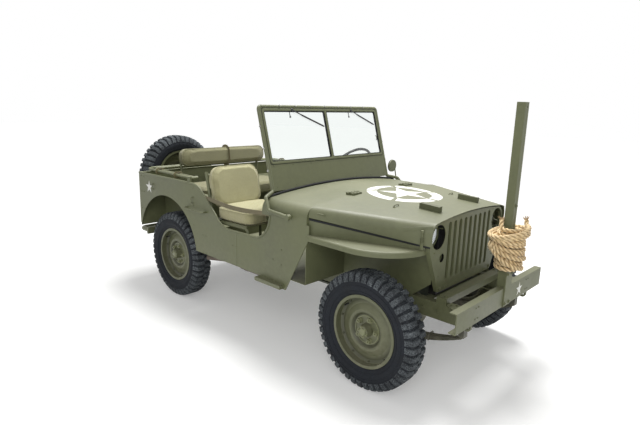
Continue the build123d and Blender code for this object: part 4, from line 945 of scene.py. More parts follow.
# Outer and inner radius of the hood's ring, and its gaps in degrees
HOOD_RING = (0.256, 0.186, 7.0)
PAINT_LIFT = 0.0005
PAINT_DEPTH = 0.0004
HOOD_SEAM_X = -423.5
SEAM_GAP = 0.0015


def wedge(corners, steps):
    """Points and faces that fill a triangle evenly."""
    a, b, c = (Vector(corner) for corner in corners)
    index = {}
    points = []
    for i in range(steps + 1):
        for j in range(steps + 1 - i):
            index[i, j] = len(points)
            points.append(a + (b - a) * i / steps + (c - a) * j / steps)
    faces = []
    for i in range(steps):
        for j in range(steps - i):
            faces.append([index[i, j], index[i + 1, j], index[i, j + 1]])
            if j < steps - i - 1:
                faces.append([index[i + 1, j], index[i + 1, j + 1], index[i, j + 1]])
    return points, faces


def star_form(radius, steps, point_angle=0.0):
    """A five-pointed star in the XY plane about the origin, one point towards +X."""
    form = Form()
    rim = []
    for i in range(10):
        angle = math.radians(point_angle + 36 * i)
        reach = radius if i % 2 == 0 else radius * STAR_NOTCH
        rim.append(Vector((reach * math.cos(angle), reach * math.sin(angle), 0)))
    for i in range(10):
        form.add(*wedge((Vector((0, 0, 0)), rim[i], rim[(i + 1) % 10]), steps))
    return form


def ring_form(outer, inner, gap_degrees, steps=14):
    """A ring in five stretches with a narrow gap at each star point."""
    form = Form()
    for i in range(5):
        start = math.radians(72 * i + gap_degrees / 2)
        sweep = math.radians(72 - gap_degrees)
        points = []
        faces = []
        for j in range(steps + 1):
            angle = start + sweep * j / steps
            for k in range(4):
                reach = inner + (outer - inner) * k / 3
                points.append((reach * math.cos(angle), reach * math.sin(angle), 0))
        for j in range(steps):
            faces += [[4 * j + k, 4 * j + k + 1, 4 * j + k + 5, 4 * j + k + 4] for k in range(3)]
        form.add(points, faces)
    return form


def cut_at(form, x, front):
    """The part of a flat form in front of a line across the car, or the part behind it."""
    loose = bmesh.new()
    corners = [loose.verts.new(point) for point in form.points]
    for face in form.faces:
        loose.faces.new([corners[i] for i in face])
    everything = loose.verts[:] + loose.edges[:] + loose.faces[:]
    bmesh.ops.bisect_plane(loose, geom=everything, plane_co=(x, 0, 0), plane_no=(1, 0, 0), clear_inner=front,
                           clear_outer=not front)
    return Form().add(*points_and_faces(loose))


def laid_on(form, surface, place, way):
    """Moves a flat form onto a node's surface along a direction."""
    skin = skin_of(surface)
    way = Vector(way)
    moved = []
    for point in form.points:
        start = place @ point
        hit = skin.ray_cast(start - way * 0.4, way)[0]
        moved.append((hit or start) - way * PAINT_LIFT)
    form.points = moved
    return form


def painted_on(name, form, body="chassis"):
    """White paint from a form: the flat skin given its thickness."""
    mesh = make(name, form, "white_paint", body, smooth=35.0).data
    loose = bmesh.new()
    loose.from_mesh(mesh)
    bmesh.ops.remove_doubles(loose, verts=loose.verts, dist=DOUBLED)
    bmesh.ops.solidify(loose, geom=loose.faces[:], thickness=PAINT_DEPTH)
    bmesh.ops.recalc_face_normals(loose, faces=loose.faces)
    loose.to_mesh(mesh)
    loose.free()
    mesh.polygons.foreach_set("use_smooth", [False] * len(mesh.polygons))


def stars():
    """The ringed star on the hood, small stars at the rear corners and one on the bumper."""
    down = (0, 0, -1)
    place = placed(at(-233, 8, 1075))
    seam = HOOD_SEAM_X * MM + FRONT_AXLE_X - place.translation.x
    form = laid_on(star_form(HOOD_STAR, 8), "hood", place, down)
    ring = laid_on(cut_at(ring_form(*HOOD_RING), seam + SEAM_GAP, True), "hood", place, down)
    form.add(ring.points, ring.faces)
    painted_on("hood_star", form, "hood")
    ring = laid_on(cut_at(ring_form(*HOOD_RING), seam - SEAM_GAP, False), "cowl", place, down)
    painted_on("cowl_ring", ring)
    for side, word in WORDED_SIDES:
        place = placed(at(-2306, side * 741, 903), 0, 0, 90 * -side)
        form = star_form(SIDE_STAR, 2, 90)
        form.points = [place @ Vector((point.x, point.y * -side, 0)) for point in form.points]
        painted_on(f"side_star_{word}", form)
    form = star_form(BUMPER_STAR, 2, 90)
    middle = at(527.6, 227, 540)
    form.points = [middle + Vector((0, point.x, point.y)) for point in form.points]
    painted_on("bumper_star", form)


stars()


# Lamps
TAIL_X = -2478
# Word, place across and up, and radius of the hole in the grille
LAMP_PLACES = (
    ("right", -370, 928, 72), ("left", 370, 928, 72),
    ("small_right", -320, 795, 26), ("small_left", 320, 795, 26),
)


def bowl(back, depth, reach, steps):
    """A curve of (along, radius) points from the axis out to a rim."""
    return [(back + depth * (1 - (i / steps) ** 2), max(reach * i / steps, 0.0004)) for i in range(steps + 1)]


def sheet_of(curve, along, reach):
    """A curve closed by its own copy, moved by a wall's thickness."""
    return curve + [(x + along, radius + reach) for x, radius in reversed(curve)]


def lamps():
    """Head and marker lamps, each with a rim, a bowl, a reflector, a lens and stays."""
    for word, y, z, hole in LAMP_PLACES:
        large = hole > 40
        place = placed(at(267, y, z))
        size = hole * MM
        back = 0.050 if large else 0.020
        lens = size - (0.004 if large else 0.003)
        rim = [(-back - 0.010, lens + 0.002), (-back - 0.010, size + 0.004), (-back + 0.004, size + 0.004),
               (-back + 0.007, size), (-back + 0.006, lens - 0.002), (-back, lens - 0.003)]
        lathed(f"lamp_rim_{word}", rim, place, "body_paint", replaced=["headlamps"])
        curve = bowl(-back - 0.004, -size * (0.36 if large else 0.5), lens, 10)
        # The small lamps' reflectors are black enamel instead of silver: painted shade for a dark lamp hole
        finish = "reflector" if large else "black_steel"
        shell = sheet_of(curve, -0.0016, 0.0006)
        lathed(f"reflector_{word}", shell, place, finish, smooth=60.0, slot="lamp_glass")
        cup = sheet_of([(along - 0.003, reach + 0.0025) for along, reach in curve], -0.0012, 0.0016)
        lathed(f"lamp_bowl_{word}", cup, place, "body_paint", 40, smooth=60.0, replaced=["headlamps"])
        face = sheet_of(bowl(-back - 0.003, lens * 0.17, lens, 8), -0.0025, 0.0)
        lathed(f"lamp_lens_{word}", face, place, "lens_glass", smooth=60.0)
        stays = Form()
        for across, up in circle(size + 0.0025, 3, 0.5):
            foot = place @ Vector((-0.014, across * 1.02, up * 1.02))
            stays.add(*tube([foot, place @ Vector((-back, across, up))], 0.003, 8))
        make(f"lamp_stays_{word}", stays, "body_paint")
        if large:
            bulb = [(-back - 0.006 - 0.011 * math.cos(angle), max(0.0085 * math.sin(angle), 0.0003))
                    for angle in [math.pi * i / 10 for i in range(11)]]
            lathed(f"bulb_shield_{word}", bulb, place, "bright_steel", 24, smooth=60.0, slot="lamp_glass")


def tail_lamps():
    """Two red lamps and two red reflectors on the tail."""
    cup = [(0.0, 0.020), (0.0, 0.034), (0.006, 0.036), (0.034, 0.034), (0.040, 0.031), (0.041, 0.026),
           (0.036, 0.024), (0.010, 0.022)]
    lens = [(0.030, 0.0003), (0.030, 0.0255), (0.040, 0.0250), (0.0435, 0.018), (0.0445, 0.009),
            (0.045, 0.0003)]
    rim = [(0.0, 0.0003), (0.0, 0.029), (0.006, 0.031), (0.010, 0.029), (0.009, 0.026), (0.006, 0.0258),
           (0.006, 0.0003)]
    face = [(0.0055, 0.0003), (0.0055, 0.0255), (0.0085, 0.0245), (0.0100, 0.015), (0.0105, 0.0003)]
    for side, word in WORDED_SIDES:
        place = placed(at(TAIL_X, side * 670, 730), 180)
        lathed(f"tail_lamp_{word}", cup, place, "body_paint", 40, replaced=["tail_lamps"])
        lathed(f"tail_lens_{word}", lens, place, "tail_red", 32, replaced=["tail_lamps"])
        place = placed(at(TAIL_X, side * 590, 640), 180)
        lathed(f"reflector_rim_{word}", rim, place, "black_steel", 36)
        lathed(f"reflector_lens_{word}", face, place, "tail_red", 32)


lamps()
tail_lamps()


# Cushions: sizes in metres along, across and through
SWELL_CAP = 0.020
PULL_CAP = 0.0015
STITCH_INSET = 0.012
FRONT_SEAT, FRONT_BACK = (0.400, 0.450, 0.104), (0.320, 0.450, 0.064)
REAR_SEAT, REAR_BACK = (0.390, 0.940, 0.090), (0.160, 0.940, 0.080)


def pad_form(size, corner):
    """A plain rounded pad about the origin, its outline corners rounded by corner."""
    length, width, thick = size
    outline = round_cornered(length / 2, width / 2, corner)
    rows = []
    for level, inset in ((-0.5, 0.16), (-0.44, 0.05), (-0.25, 0.0), (0.25, 0.0), (0.44, 0.05), (0.5, 0.16)):
        pull = inset * thick
        rows.append([(x - math.copysign(min(pull, abs(x)), x), y - math.copysign(min(pull, abs(y)), y),
                      level * thick) for x, y in outline])
    return rings(rows)


def swollen(mesh, name):
    """The pad after its stuffing has pushed its cover out, each point moved no further than the caps."""
    scene = bpy.context.scene
    holder = shown(name, mesh)
    remesh = holder.modifiers.new("even", "REMESH")
    remesh.mode = "VOXEL"
    remesh.voxel_size = 0.0062
    even = worked_out(holder)
    holder.modifiers.clear()
    holder.data = even
    start = [vertex.co.copy() for vertex in even.vertices]
    cloth = holder.modifiers.new("cloth", "CLOTH")
    cloth.settings.use_pressure = True
    cloth.settings.uniform_pressure_force = 4.0
    cloth.settings.effector_weights.gravity = 0.0
    cloth.point_cache.frame_start = 1
    cloth.point_cache.frame_end = 20
    for number in range(1, 21):
        scene.frame_set(number)
    after = holder.evaluated_get(bpy.context.evaluated_depsgraph_get()).to_mesh()
    moved = [vertex.co.copy() for vertex in after.vertices]
    holder.modifiers.clear()
    scene.frame_set(1)
    for vertex, old, new in zip(even.vertices, start, moved):
        shift = new - old
        rise = max(-SWELL_CAP, min(SWELL_CAP, shift.z))
        across = Vector((shift.x, shift.y, 0.0))
        across *= min(across.length, PULL_CAP) / max(across.length, 1e-9)
        vertex.co = old + across + Vector((0.0, 0.0, rise))
    bpy.data.objects.remove(holder)
    return even


def creased(mesh, half, place):
    """Ripples the cover, puckers it near the edges and holds it near the pad's size."""
    for vertex in mesh.vertices:
        co = vertex.co
        spot = place @ co
        ripple = noise.noise(spot * 14.0) * 0.0022 + noise.noise(spot * 42.0) * 0.0006
        away = min(half.x - abs(co.x), half.y - abs(co.y))
        near_edge = math.exp(-max(away, 0) / 0.03)
        pucker = near_edge * noise.noise(Vector((spot.x * 55, spot.y * 55, 3.1))) * 0.0016
        vertex.co = co + co.normalized() * (ripple + pucker)
        for axis in range(3):
            limit = half[axis] + (0.004 if axis < 2 else 0.006)
            vertex.co[axis] = max(-limit, min(limit, vertex.co[axis]))


def cushion(name, size, corner, place, cad_node, finish="canvas"):
    """A stuffed canvas cushion with welts round its two faces and a stitched row beside each."""
    inner = (size[0] - 0.010, size[1] - 0.010, size[2] - 0.024)
    half = Vector(size) / 2
    mesh = swollen(outward(plain_mesh(name, *pad_form(inner, corner))), name)
    creased(mesh, half, place)
    mesh.transform(place)
    piece = settle(shown(name, mesh), finish, smooth=180.0, replaced=[cad_node], slot="canvas")
    skin = skin_over(mesh)
    welts = Form()
    rows = []
    for level in (-1, 1):
        height = level * (half.z - 0.010)
        ring = [Vector((x, y, height)) for x, y in round_cornered(half.x, half.y, corner, 12)]
        ring = evenly(ring + [ring[0]], 0.012)
        on_skin = [skin.find_nearest(place @ point) for point in ring]
        welts.add(*tube([hit[0] + hit[1] * 0.0008 for hit in on_skin], 0.0034, 8, closed=True))
        shrink_x, shrink_y = 1 - STITCH_INSET / half.x, 1 - STITCH_INSET / half.y
        inset = [Vector((point.x * shrink_x, point.y * shrink_y, point.z + level * 0.006)) for point in ring]
        inset = [skin.find_nearest(place @ point) for point in inset]
        rows.append([hit[0] + hit[1] * 0.0004 for hit in inset + inset[:1]])
    make(f"{name}_welts", welts, finish, smooth=60.0)
    stitches(f"{name}_stitches", rows, 0.0075, 0.0007)
    return piece


def seats():
    """Front and rear cushions, and the band round the rear back."""
    for side, word in WORDED_SIDES:
        place = placed(at(-1195, side * 492, 841.5), 0, -1.4)
        cushion(f"front_seat_{word}", FRONT_SEAT, 0.06, place, "front_seat_cushions")
        place = placed(at(-1432, side * 492, 1010), 0, 90 - 13.5)
        cushion(f"front_back_{word}", FRONT_BACK, 0.09, place, "front_seat_cushions")
    # The rear cushions take the darker rear canvas, painted shade
    place = placed(at(-2052, 0, 867.3))
    cushion("rear_seat", REAR_SEAT, 0.05, place, "rear_seat_cushions", "rear_canvas")
    place = placed(at(-2254.9, 0, 1140), 0, 84)
    back = cushion("rear_back", REAR_BACK, 0.066, place, "rear_seat_cushions", "rear_canvas")
    skin = skin_over(back.data)
    middle = place @ Vector((0, 0.02, 0))
    ring = []
    for x, z in circle(1.0, 72):
        way = place.to_3x3() @ Vector((x, 0, z))
        ring.append(skin.ray_cast(middle + way * 0.3, -way)[0] + way * 0.0016)
    band = tube(ring, 0, closed=True, section=round_cornered(0.022, 0.0009, 0.0007, 2), up=Vector((0, 1, 0)))
    make("rear_back_band", Form().add(*band), "band_webbing")


seats()


# Helpers of the small fittings
def landed(skin, place, way, reach=0.4):
    """Where a ray from outside meets a surface, and the surface's way there."""
    way = Vector(way)
    hit, normal, _, _ = skin.ray_cast(Vector(place) - way * reach, way)
    if hit is None:
        return Vector(place), -way
    return hit, normal if normal.dot(way) < 0 else -normal


def through(start, via, end, steps=10):
    """Points of the arc through three (x, z) places."""
    (ax, ay), (bx, by), (cx, cy) = start, via, end
    twice = 2 * (ax * (by - cy) + bx * (cy - ay) + cx * (ay - by))
    squares = [x * x + y * y for x, y in (start, via, end)]
    mid_x = (squares[0] * (by - cy) + squares[1] * (cy - ay) + squares[2] * (ay - by)) / twice
    mid_y = (squares[0] * (cx - bx) + squares[1] * (ax - cx) + squares[2] * (bx - ax)) / twice
    reach = math.hypot(ax - mid_x, ay - mid_y)
    angles = [math.atan2(y - mid_y, x - mid_x) for x, y in (start, via, end)]
    for i in (1, 2):
        while angles[i] - angles[i - 1] > math.pi:
            angles[i] -= 2 * math.pi
        while angles[i] - angles[i - 1] < -math.pi:
            angles[i] += 2 * math.pi
    out = []
    for i in range(steps + 1):
        angle = angles[0] + (angles[2] - angles[0]) * i / steps
        out.append((mid_x + reach * math.cos(angle), mid_y + reach * math.sin(angle)))
    return out


def strip(path, width, thickness, up, closed=False):
    """A flat band with soft edges along a path: its width lies across the up way."""
    section = round_cornered(width / 2, thickness / 2, min(width, thickness) * 0.4, 2)
    return tube(path, 0, closed=closed, section=section, up=Vector(up))


def ended_evenly(path, step):
    """A path's points an even step apart, with its own two ends."""
    return [path[0]] + evenly(path, step)[1:] + [path[-1]]


def loop_fitting(form, place, way, along, span=0.044, rise=0.014, wire=0.0028):
    """A bent wire loop on two feet, as straps are tied to."""
    way = Vector(way).normalized()
    along = Vector(along).normalized()
    low, high = place - along * span / 2, place + along * span / 2
    path = rounded([low - way * 0.002, low + way * rise, high + way * rise, high - way * 0.002], 0.008, 4)
    form.add(*tube(path, wire, 8))
    for foot in (low, high):
        form.add(*tube([foot - way * 0.001, foot + way * 0.0022], 0.0075, 14))


# Windscreen fittings, placed across, up the slope and out from its middle plane
SCREEN_UP = Vector((-0.27682, 0, 0.96092))
SCREEN_OUT = Vector((0.96092, 0, 0.27682))
SCREEN_FOOT = at(-838, 0, 1062)
SCREEN_RISE = 574.4
SCREEN_TUBE = 12.5
PANE_LOW, PANE_HIGH = 200.0, 540.4
PANE_NEAR, PANE_FAR = 13.0, 604.0
SCREEN_STAY = ((620, 212, -11), (622, 330, -13), (628, 430, -12))


def on_screen(y, rise, out=0.0):
    """A place on the leaning windscreen, from millimetres."""
    return SCREEN_FOOT + Vector((0, y * MM, 0)) + SCREEN_UP * rise * MM + SCREEN_OUT * out * MM


def screen_loop(low_y, high_y, low, high, corner, out):
    """A closed line with round corners that lies in the windscreen's plane."""
    half_y, half_rise = (high_y - low_y) / 2, (high - low) / 2
    mid_y, mid_rise = (high_y + low_y) / 2, (high + low) / 2
    outline = round_cornered(half_y, half_rise, corner, 5)
    return [on_screen(mid_y + y, mid_rise + rise, out) for y, rise in outline]


def windscreen_fittings():
    """Glass seals, the hinged glass frame, studs, stays with wing nuts and the seal on the cowl; a thin dark strip
    round the glass frame paints the shadow of its gap.
    """
    seals = Form()
    for low_y, high_y in ((PANE_NEAR, PANE_FAR), (-PANE_FAR, -PANE_NEAR)):
        path = screen_loop(low_y, high_y, PANE_LOW, PANE_HIGH, 12, 0)
        seals.add(*strip(path, 0.0055, 0.0185, SCREEN_OUT, closed=True))
    # A thin dark rubber strip in the gap round the glass frame: painted shadow of that gap
    path = screen_loop(-624, 624, 178, 562, 14, 8.2)
    seals.add(*strip(path, 0.0036, 0.003, SCREEN_OUT, closed=True))
    make("glass_seals_and_gap_shadow", seals, "seal_rubber", "windscreen", smooth=40.0)
    rails = Form()
    for out, thick in ((9.4, 0.0035), (-9.4, 0.0035)):
        path = screen_loop(-614, 614, 188, 552, 16, out)
        rails.add(*strip(path, 0.017, thick, SCREEN_OUT, closed=True))
    rails.add(*strip([on_screen(0, 196, 9.2), on_screen(0, 545, 9.2)], 0.020, 0.003, SCREEN_OUT))
    make("glass_frame", rails, "body_paint", "windscreen", smooth=40.0)
    spots = []
    way = (SCREEN_OUT * 0.92 + SCREEN_UP * 0.39).normalized()
    for y in (-459, -306, -153, 0, 153, 306, 459):
        spots.append((on_screen(y, SCREEN_RISE) + way * SCREEN_TUBE * MM, way))
    for side in SIDES:
        way = Vector((0, side, 0))
        spots += [(on_screen(side * 640, rise) + way * SCREEN_TUBE * MM, way) for rise in (140, 290, 440)]
    studs("top_studs", spots, "bright_steel", 0.0125, 0.006, 14, 1.25, body="windscreen")
    stays = Form()
    for side in SIDES:
        path = [on_screen(side * y, rise, out) for y, rise, out in SCREEN_STAY]
        stays.add(*strip(softened(path, 5), 0.013, 0.003, SCREEN_OUT))
        nut = on_screen(side * 622, 330, -14)
        stays.add(*tube([nut, nut - SCREEN_OUT * 0.012], 0.0075, 12))
        for lean in (-1, 1):
            ear = nut - SCREEN_OUT * 0.009 + SCREEN_UP * lean * 0.006
            tip = ear + SCREEN_UP * lean * 0.014 - SCREEN_OUT * 0.010
            stays.add(*strip([ear, tip], 0.010, 0.0028, (0, 1, 0)))
    make("glass_stays", stays, "body_paint", "windscreen", smooth=40.0)
    spots = []
    for y in (-600, -420, -240, 240, 420, 600):
        spots += [(on_screen(y, rise, 8), SCREEN_OUT) for rise in (26, 168)]
    rivets("panel_rivets", spots, 0.009, 0.0028, "windscreen")
    cowl = skin_of("cowl")
    path = []
    for i in range(49):
        y = (i / 24 - 1) * 718
        hit, normal = landed(cowl, at(-820, y, 1000), (0, 0, -1))
        path.append(hit + normal * 0.0075)
    seal = Form().add(*tube(evenly(softened(path, 3), 0.012), 0.0085, 10))
    make("cowl_seal", seal, "seal_rubber", "windscreen", smooth=60.0)


def wiper(word, y, reach_y, reach_rise):
    """One wiper that hangs from the top: boss, arm, blade carrier, rubber and the hand lever inside."""
    rise = SCREEN_RISE - 26

    def on_wiper(share, out):
        return on_screen(y + reach_y * share, rise - reach_rise * share, out)

    turn = Matrix((Vector((0, 1, 0)), SCREEN_UP, SCREEN_OUT)).transposed().to_4x4()
    boss = [(0.0, 0.0003), (0.0, 0.0110), (0.004, 0.0110), (0.006, 0.0080), (0.0095, 0.0070),
            (0.0105, 0.0003)]
    steel = Form().add(*turned(boss, 24, "Z"), Matrix.Translation(on_screen(y, rise, 8.4)) @ turn)
    arm = [on_wiper(0.0, 15), on_wiper(0.25, 12.6), on_wiper(0.62, 12.4)]
    steel.add(*strip(softened(arm, 4), 0.0090, 0.0030, SCREEN_OUT))
    steel.add(*strip([on_wiper(share, 10.6) for share in (0.30, 0.65, 1.0)], 0.0125, 0.0040, SCREEN_OUT))
    lever = [on_screen(y, rise, -9), on_screen(y, rise, -22), on_screen(y + 6, rise - 34, -26)]
    steel.add(*tube(rounded(lever, 0.008), 0.0032, 8))
    steel.add(*tube([lever[-1], on_screen(y + 7, rise - 46, -27)], 0.0062, 12))
    make(f"wiper_{word}", steel, "black_steel", "windscreen", smooth=40.0, replaced=["wipers"])
    blade = [on_wiper(share, 7.6) for share in (0.28, 0.65, 1.02)]
    section = [(-0.0048, 0.0030), (0.0048, 0.0030), (0.0012, -0.0042), (-0.0012, -0.0042)]
    rubber = Form().add(*tube(blade, 0, section=section, up=-SCREEN_OUT))
    make(f"wiper_rubber_{word}", rubber, "seal_rubber", "windscreen", smooth=30.0)


windscreen_fittings()
wiper("right", -345, 300, 118)
wiper("left", 300, 264, 112)


# Edges and loops of the body
BODY_HALF = 740
RIVET_Y = BODY_HALF + 0.2


def body_fittings():
    """Rolled edges of the door cut-outs and tub, strap loops, rivets and the seam covers."""
    edge = [(-752, 925), (-756, 905)] + through((-756, 905), (-798, 806), (-880, 752), 10)[1:]
    edge += through((-1190, 745), (-1288, 770), (-1356, 828), 8)
    edge += through((-1520, 968), (-1580, 1008), (-1650, 1020), 8) + [(-2472, 1010)]
    lips, loops = Form(), Form()
    spots = []
    for side in SIDES:
        out = Vector((0, side, 0))
        lips.add(*tube(ended_evenly([at(x, side * (BODY_HALF - 1), z) for x, z in edge], 0.02), 0.0080, 12))
        for x, z in ((-2238, 915), (-1648, 890)):
            loop_fitting(loops, at(x, side * BODY_HALF, z), out, (0, 0, 1))
        for x in (-640, -720, -1110, -1150, -1480, -1520):
            spots += [(at(x, side * RIVET_Y, z), out) for z in ((500, 640) if x < -700 else (620, 720))]
        for x in (-2440, -2400, -1640):
            spots += [(at(x, side * RIVET_Y, z), out) for z in (700, 850, 985)]
        spots += [(at(x, side * 760, 492.2), Vector((0, 0, 1))) for x in (-850, -622)]
        # Rolled front edge of the side panel
        front = [at(-600, side * 736, 461), at(-402, side * 736, 838), at(-402, side * 736, 920)]
        lips.add(*tube(ended_evenly(front, 0.02), 0.0042, 8))
        # Cover strip over the body seam
        seam = [at(-1110, side * (BODY_HALF + 0.4), z) for z in (506, 738)]
        lips.add(*strip(seam, 0.016, 0.0016, (0, 1, 0)))
    for y in (-560, -360, 360, 560):
        spots += [(at(TAIL_X - 0.2, y, z), Vector((-1, 0, 0))) for z in (590, 980)]
        loop_fitting(loops, at(TAIL_X, y * 0.82, 905), (-1, 0, 0), (0, 1, 0))
    lips.add(*tube([at(-2476.5, y, 1010) for y in (-730, -360, 0, 360, 730)], 0.0055, 10))
    make("body_edges", lips, "body_paint")
    make("strap_loops", loops, "body_paint")
    rivets("body_rivets", spots, 0.0095, 0.0030)


def hood_fittings():
    """Side catches, strap loops, hinge screws and the dark lacing under the hood's edges, which also paints the
    shadow of the gap there.
    """
    hood, cowl = skin_of("hood"), skin_of("cowl")
    strips, loops, lacing, catches = Form(), Form(), Form(), Form()
    hood_screws, cowl_screws = [], []
    up, down = Vector((0, 0, 1)), (0, 0, -1)
    for side in SIDES:
        inward = (0, -side, 0)
        # Dark lacing on the fender's riser, which closes the gap under the hood's edge: a hood lace that also
        # stands as the painted shadow of that gap
        line = [at(x, side * (562.9 - 0.378 * x), 913.1 - 0.112 * x) for x in (-416, -240, -60, 110, 270)]
        lacing.add(*strip(line, 0.0036, 0.012, up))
        # Strip on the hood's side, with the hook that the catch holds
        path = []
        for x, z in ((128, 973), (180, 980), (232, 987), (279, 994)):
            hit, normal = landed(hood, at(x, side * 420, z), inward, 0.25)
            path.append(hit + normal * 0.0022)
        strips.add(*tube(path, 0, section=round_cornered(0.0018, 0.012, 0.0014, 2)))
        hook, normal = landed(hood, at(232, side * 420, 968), inward, 0.25)
        strips.add(*tube([hook, hook + normal * 0.010], 0.009, 14))
        # Sprung rod of the catch
        top = at(236, 0, 972)
        top.y = hook.y + side * 0.014
        foot = Vector((top.x, top.y, 0.900))
        catches.add(*tube([foot, top], 0.0042, 10))
        catches.add(*tube([top - up * 0.006, top + up * 0.010], 0.0085, 14))
        coil = []
        for i in range(90):
            angle = 2 * math.pi * i / 12
            height = 0.006 + i * 0.00042
            coil.append(foot + Vector((0.0075 * math.cos(angle), 0.0075 * math.sin(angle), height)))
        catches.add(*tube(coil, 0.0014, 6))
        base = Vector((top.x, top.y, 0.872))
        catches.add(*strip([base, foot + up * 0.012], 0.020, 0.003, (0, side, 0)))
        for x, skin, spots in ((-440, cowl, cowl_screws), (-395, hood, hood_screws)):
            hit, normal = landed(skin, at(x, side * 300, 1000), down)
            spots += [(hit + Vector((0, shift, 0)), normal) for shift in (-0.032, 0, 0.032)]
        hit, normal = landed(hood, at(-345, side * 600, 1000), inward, 0.3)
        loop_fitting(loops, hit, normal, (1, 0, 0), 0.05, 0.012)
        hit, normal = landed(hood, at(-60, side * 330, 1000), down)
        loop_fitting(loops, hit, normal, (0, 1, 0), 0.046, 0.010)
    make("hood_catch_strips", strips, "body_paint", "hood")
    make("hood_loops", loops, "body_paint", "hood")
    make("hood_lace_and_gap_shadow", lacing, "seal_rubber")
    make("hood_catches", catches, "body_paint")
    rivets("hood_hinge_screws", hood_screws, 0.009, 0.0028, "hood")
    rivets("cowl_hinge_screws", cowl_screws, 0.009, 0.0028)


body_fittings()
hood_fittings()


# Driver's place
PANEL_X = -806.0
# Place across and up, and radius; the large dial first
DIALS = ((0, 965, 36), (-70, 983, 22), (-70, 923, 22), (70, 983, 22), (70, 923, 22))
DIAL_START, DIAL_SWEEP = 225, 270
BOW_Y = 688.5
# Places across, rear end, front end and height of the ribs on the two floors
FLOOR_RIBS = (
    ((-600, -480, -360, -240, -150, 180, 260), -1540, -992, 545),
    ((-420, -280, -140, 0, 140, 280, 420), -2440, -1632, 645),
)


def dial(form, marks, middle, radius):
    """A face with ticks and a needle, all turned to the driver."""
    steps, long_every = (20, 5) if radius > 30 else (8, 4)

    def on_dial(angle, reach, nearer=0.0):
        x, y, z = middle
        return at(x - nearer, y - radius * reach * math.cos(angle), z + radius * reach * math.sin(angle))

    for i in range(steps + 1):
        angle = math.radians(DIAL_START - DIAL_SWEEP * i / steps)
        long = i % long_every == 0
        ends = [on_dial(angle, reach) for reach in (0.70 if long else 0.80, 0.90)]
        marks.add(*strip(ends, 0.0014 if long else 0.0008, 0.0006, (1, 0, 0)))
    angle = math.radians(DIAL_START)
    marks.add(*strip([on_dial(angle, -0.16, 0.8), on_dial(angle, 0.68, 0.8)], 0.0017, 0.0006, (1, 0, 0)))
    face = [(0.0, 0.0003), (0.0, radius * MM), (-0.0008, radius * MM), (-0.0008, 0.0003)]
    form.add(*turned(face, 40, "X"), placed(at(*middle) + Vector((0.0012, 0, 0))))


def dial_numbers():
    """Plain numbers on the large dial."""
    y, z, radius = DIALS[0]
    for number in range(0, 70, 10):
        letters = bpy.data.curves.new(f"number_{number}", "FONT")
        letters.body = str(number)
        letters.size = 0.0085
        letters.extrude = 0.0002
        letters.align_x = "CENTER"
        letters.align_y = "CENTER"
        holder = shown(f"dial_number_{number}", letters)
        mesh = worked_out(holder)
        bpy.data.objects.remove(holder)
        angle = math.radians(DIAL_START - DIAL_SWEEP * number / 60)
        reach = radius * 0.52
        spot = at(PANEL_X - 1.6, y - reach * math.cos(angle), z + reach * math.sin(angle))
        mesh.transform(Matrix.Translation(spot) @ Matrix(((0, 0, -1), (-1, 0, 0), (0, 1, 0))).to_4x4())
        settle(shown(f"dial_number_{number}", mesh), "dial_white", smooth=30.0)


def instruments():
    """Five dials with rings, faces, marks and glasses, knobs, screws and the passenger's handle."""
    faces, marks, dial_rings, glasses = Form(), Form(), Form(), Form()
    for y, z, radius in DIALS:
        dial(faces, marks, (PANEL_X - 0.5, y, z), radius)
        place = placed(at(PANEL_X, y, z))
        edge = [(0.001, radius * MM), (0.001, (radius + 4) * MM), (-0.003, (radius + 4) * MM),
                (-0.006, (radius + 1.5) * MM), (-0.005, (radius - 0.5) * MM)]
        dial_rings.add(*turned(edge, 40, "X"), place)
        glass = [(-0.0036, 0.0003), (-0.0036, radius * MM), (-0.0044, radius * MM),
                 (-0.0052, radius * 0.6 * MM), (-0.0056, 0.0003)]
        glasses.add(*turned(glass, 40, "X"), place)
    make("dial_faces", faces, "black_steel")
    make("dial_marks", marks, "dial_white", smooth=30.0)
    make("dial_rings", dial_rings, "black_steel")
    make("dial_glasses", glasses, "lens_glass", smooth=60.0, slot="screen_glass")
    dial_numbers()
    knob = [(0.0, 0.0003), (0.0, 0.0055), (-0.010, 0.0050), (-0.012, 0.0105), (-0.020, 0.0110),
            (-0.023, 0.0080), (-0.024, 0.0003)]
    knobs = Form()
    for y in (-150, -118, 112, 140):
        knobs.add(*turned(knob, 20, "X"), placed(at(PANEL_X, y, 905)))
    key = [at(PANEL_X, 24, 905), at(PANEL_X - 14, 24, 905), at(PANEL_X - 18, 24, 892)]
    knobs.add(*tube(rounded(key, 0.004), 0.003, 8))
    make("panel_knobs", knobs, "black_steel")
    spots = []
    for y in (-690, -500, -100, 100, 500, 690):
        spots += [(at(PANEL_X, y, z), Vector((-1, 0, 0))) for z in (892, 1006 if abs(y) < 600 else 950)]
    studs("panel_screws", spots, "body_paint", 0.008, 0.0025, 12, 1.2)
    grab = [at(PANEL_X - out, y, 935) for out, y in ((0, -560), (42, -560), (42, -430), (0, -430))]
    make("grab_handle", Form().add(*tube(rounded(grab, 0.02), 0.0065, 12)), "body_paint")


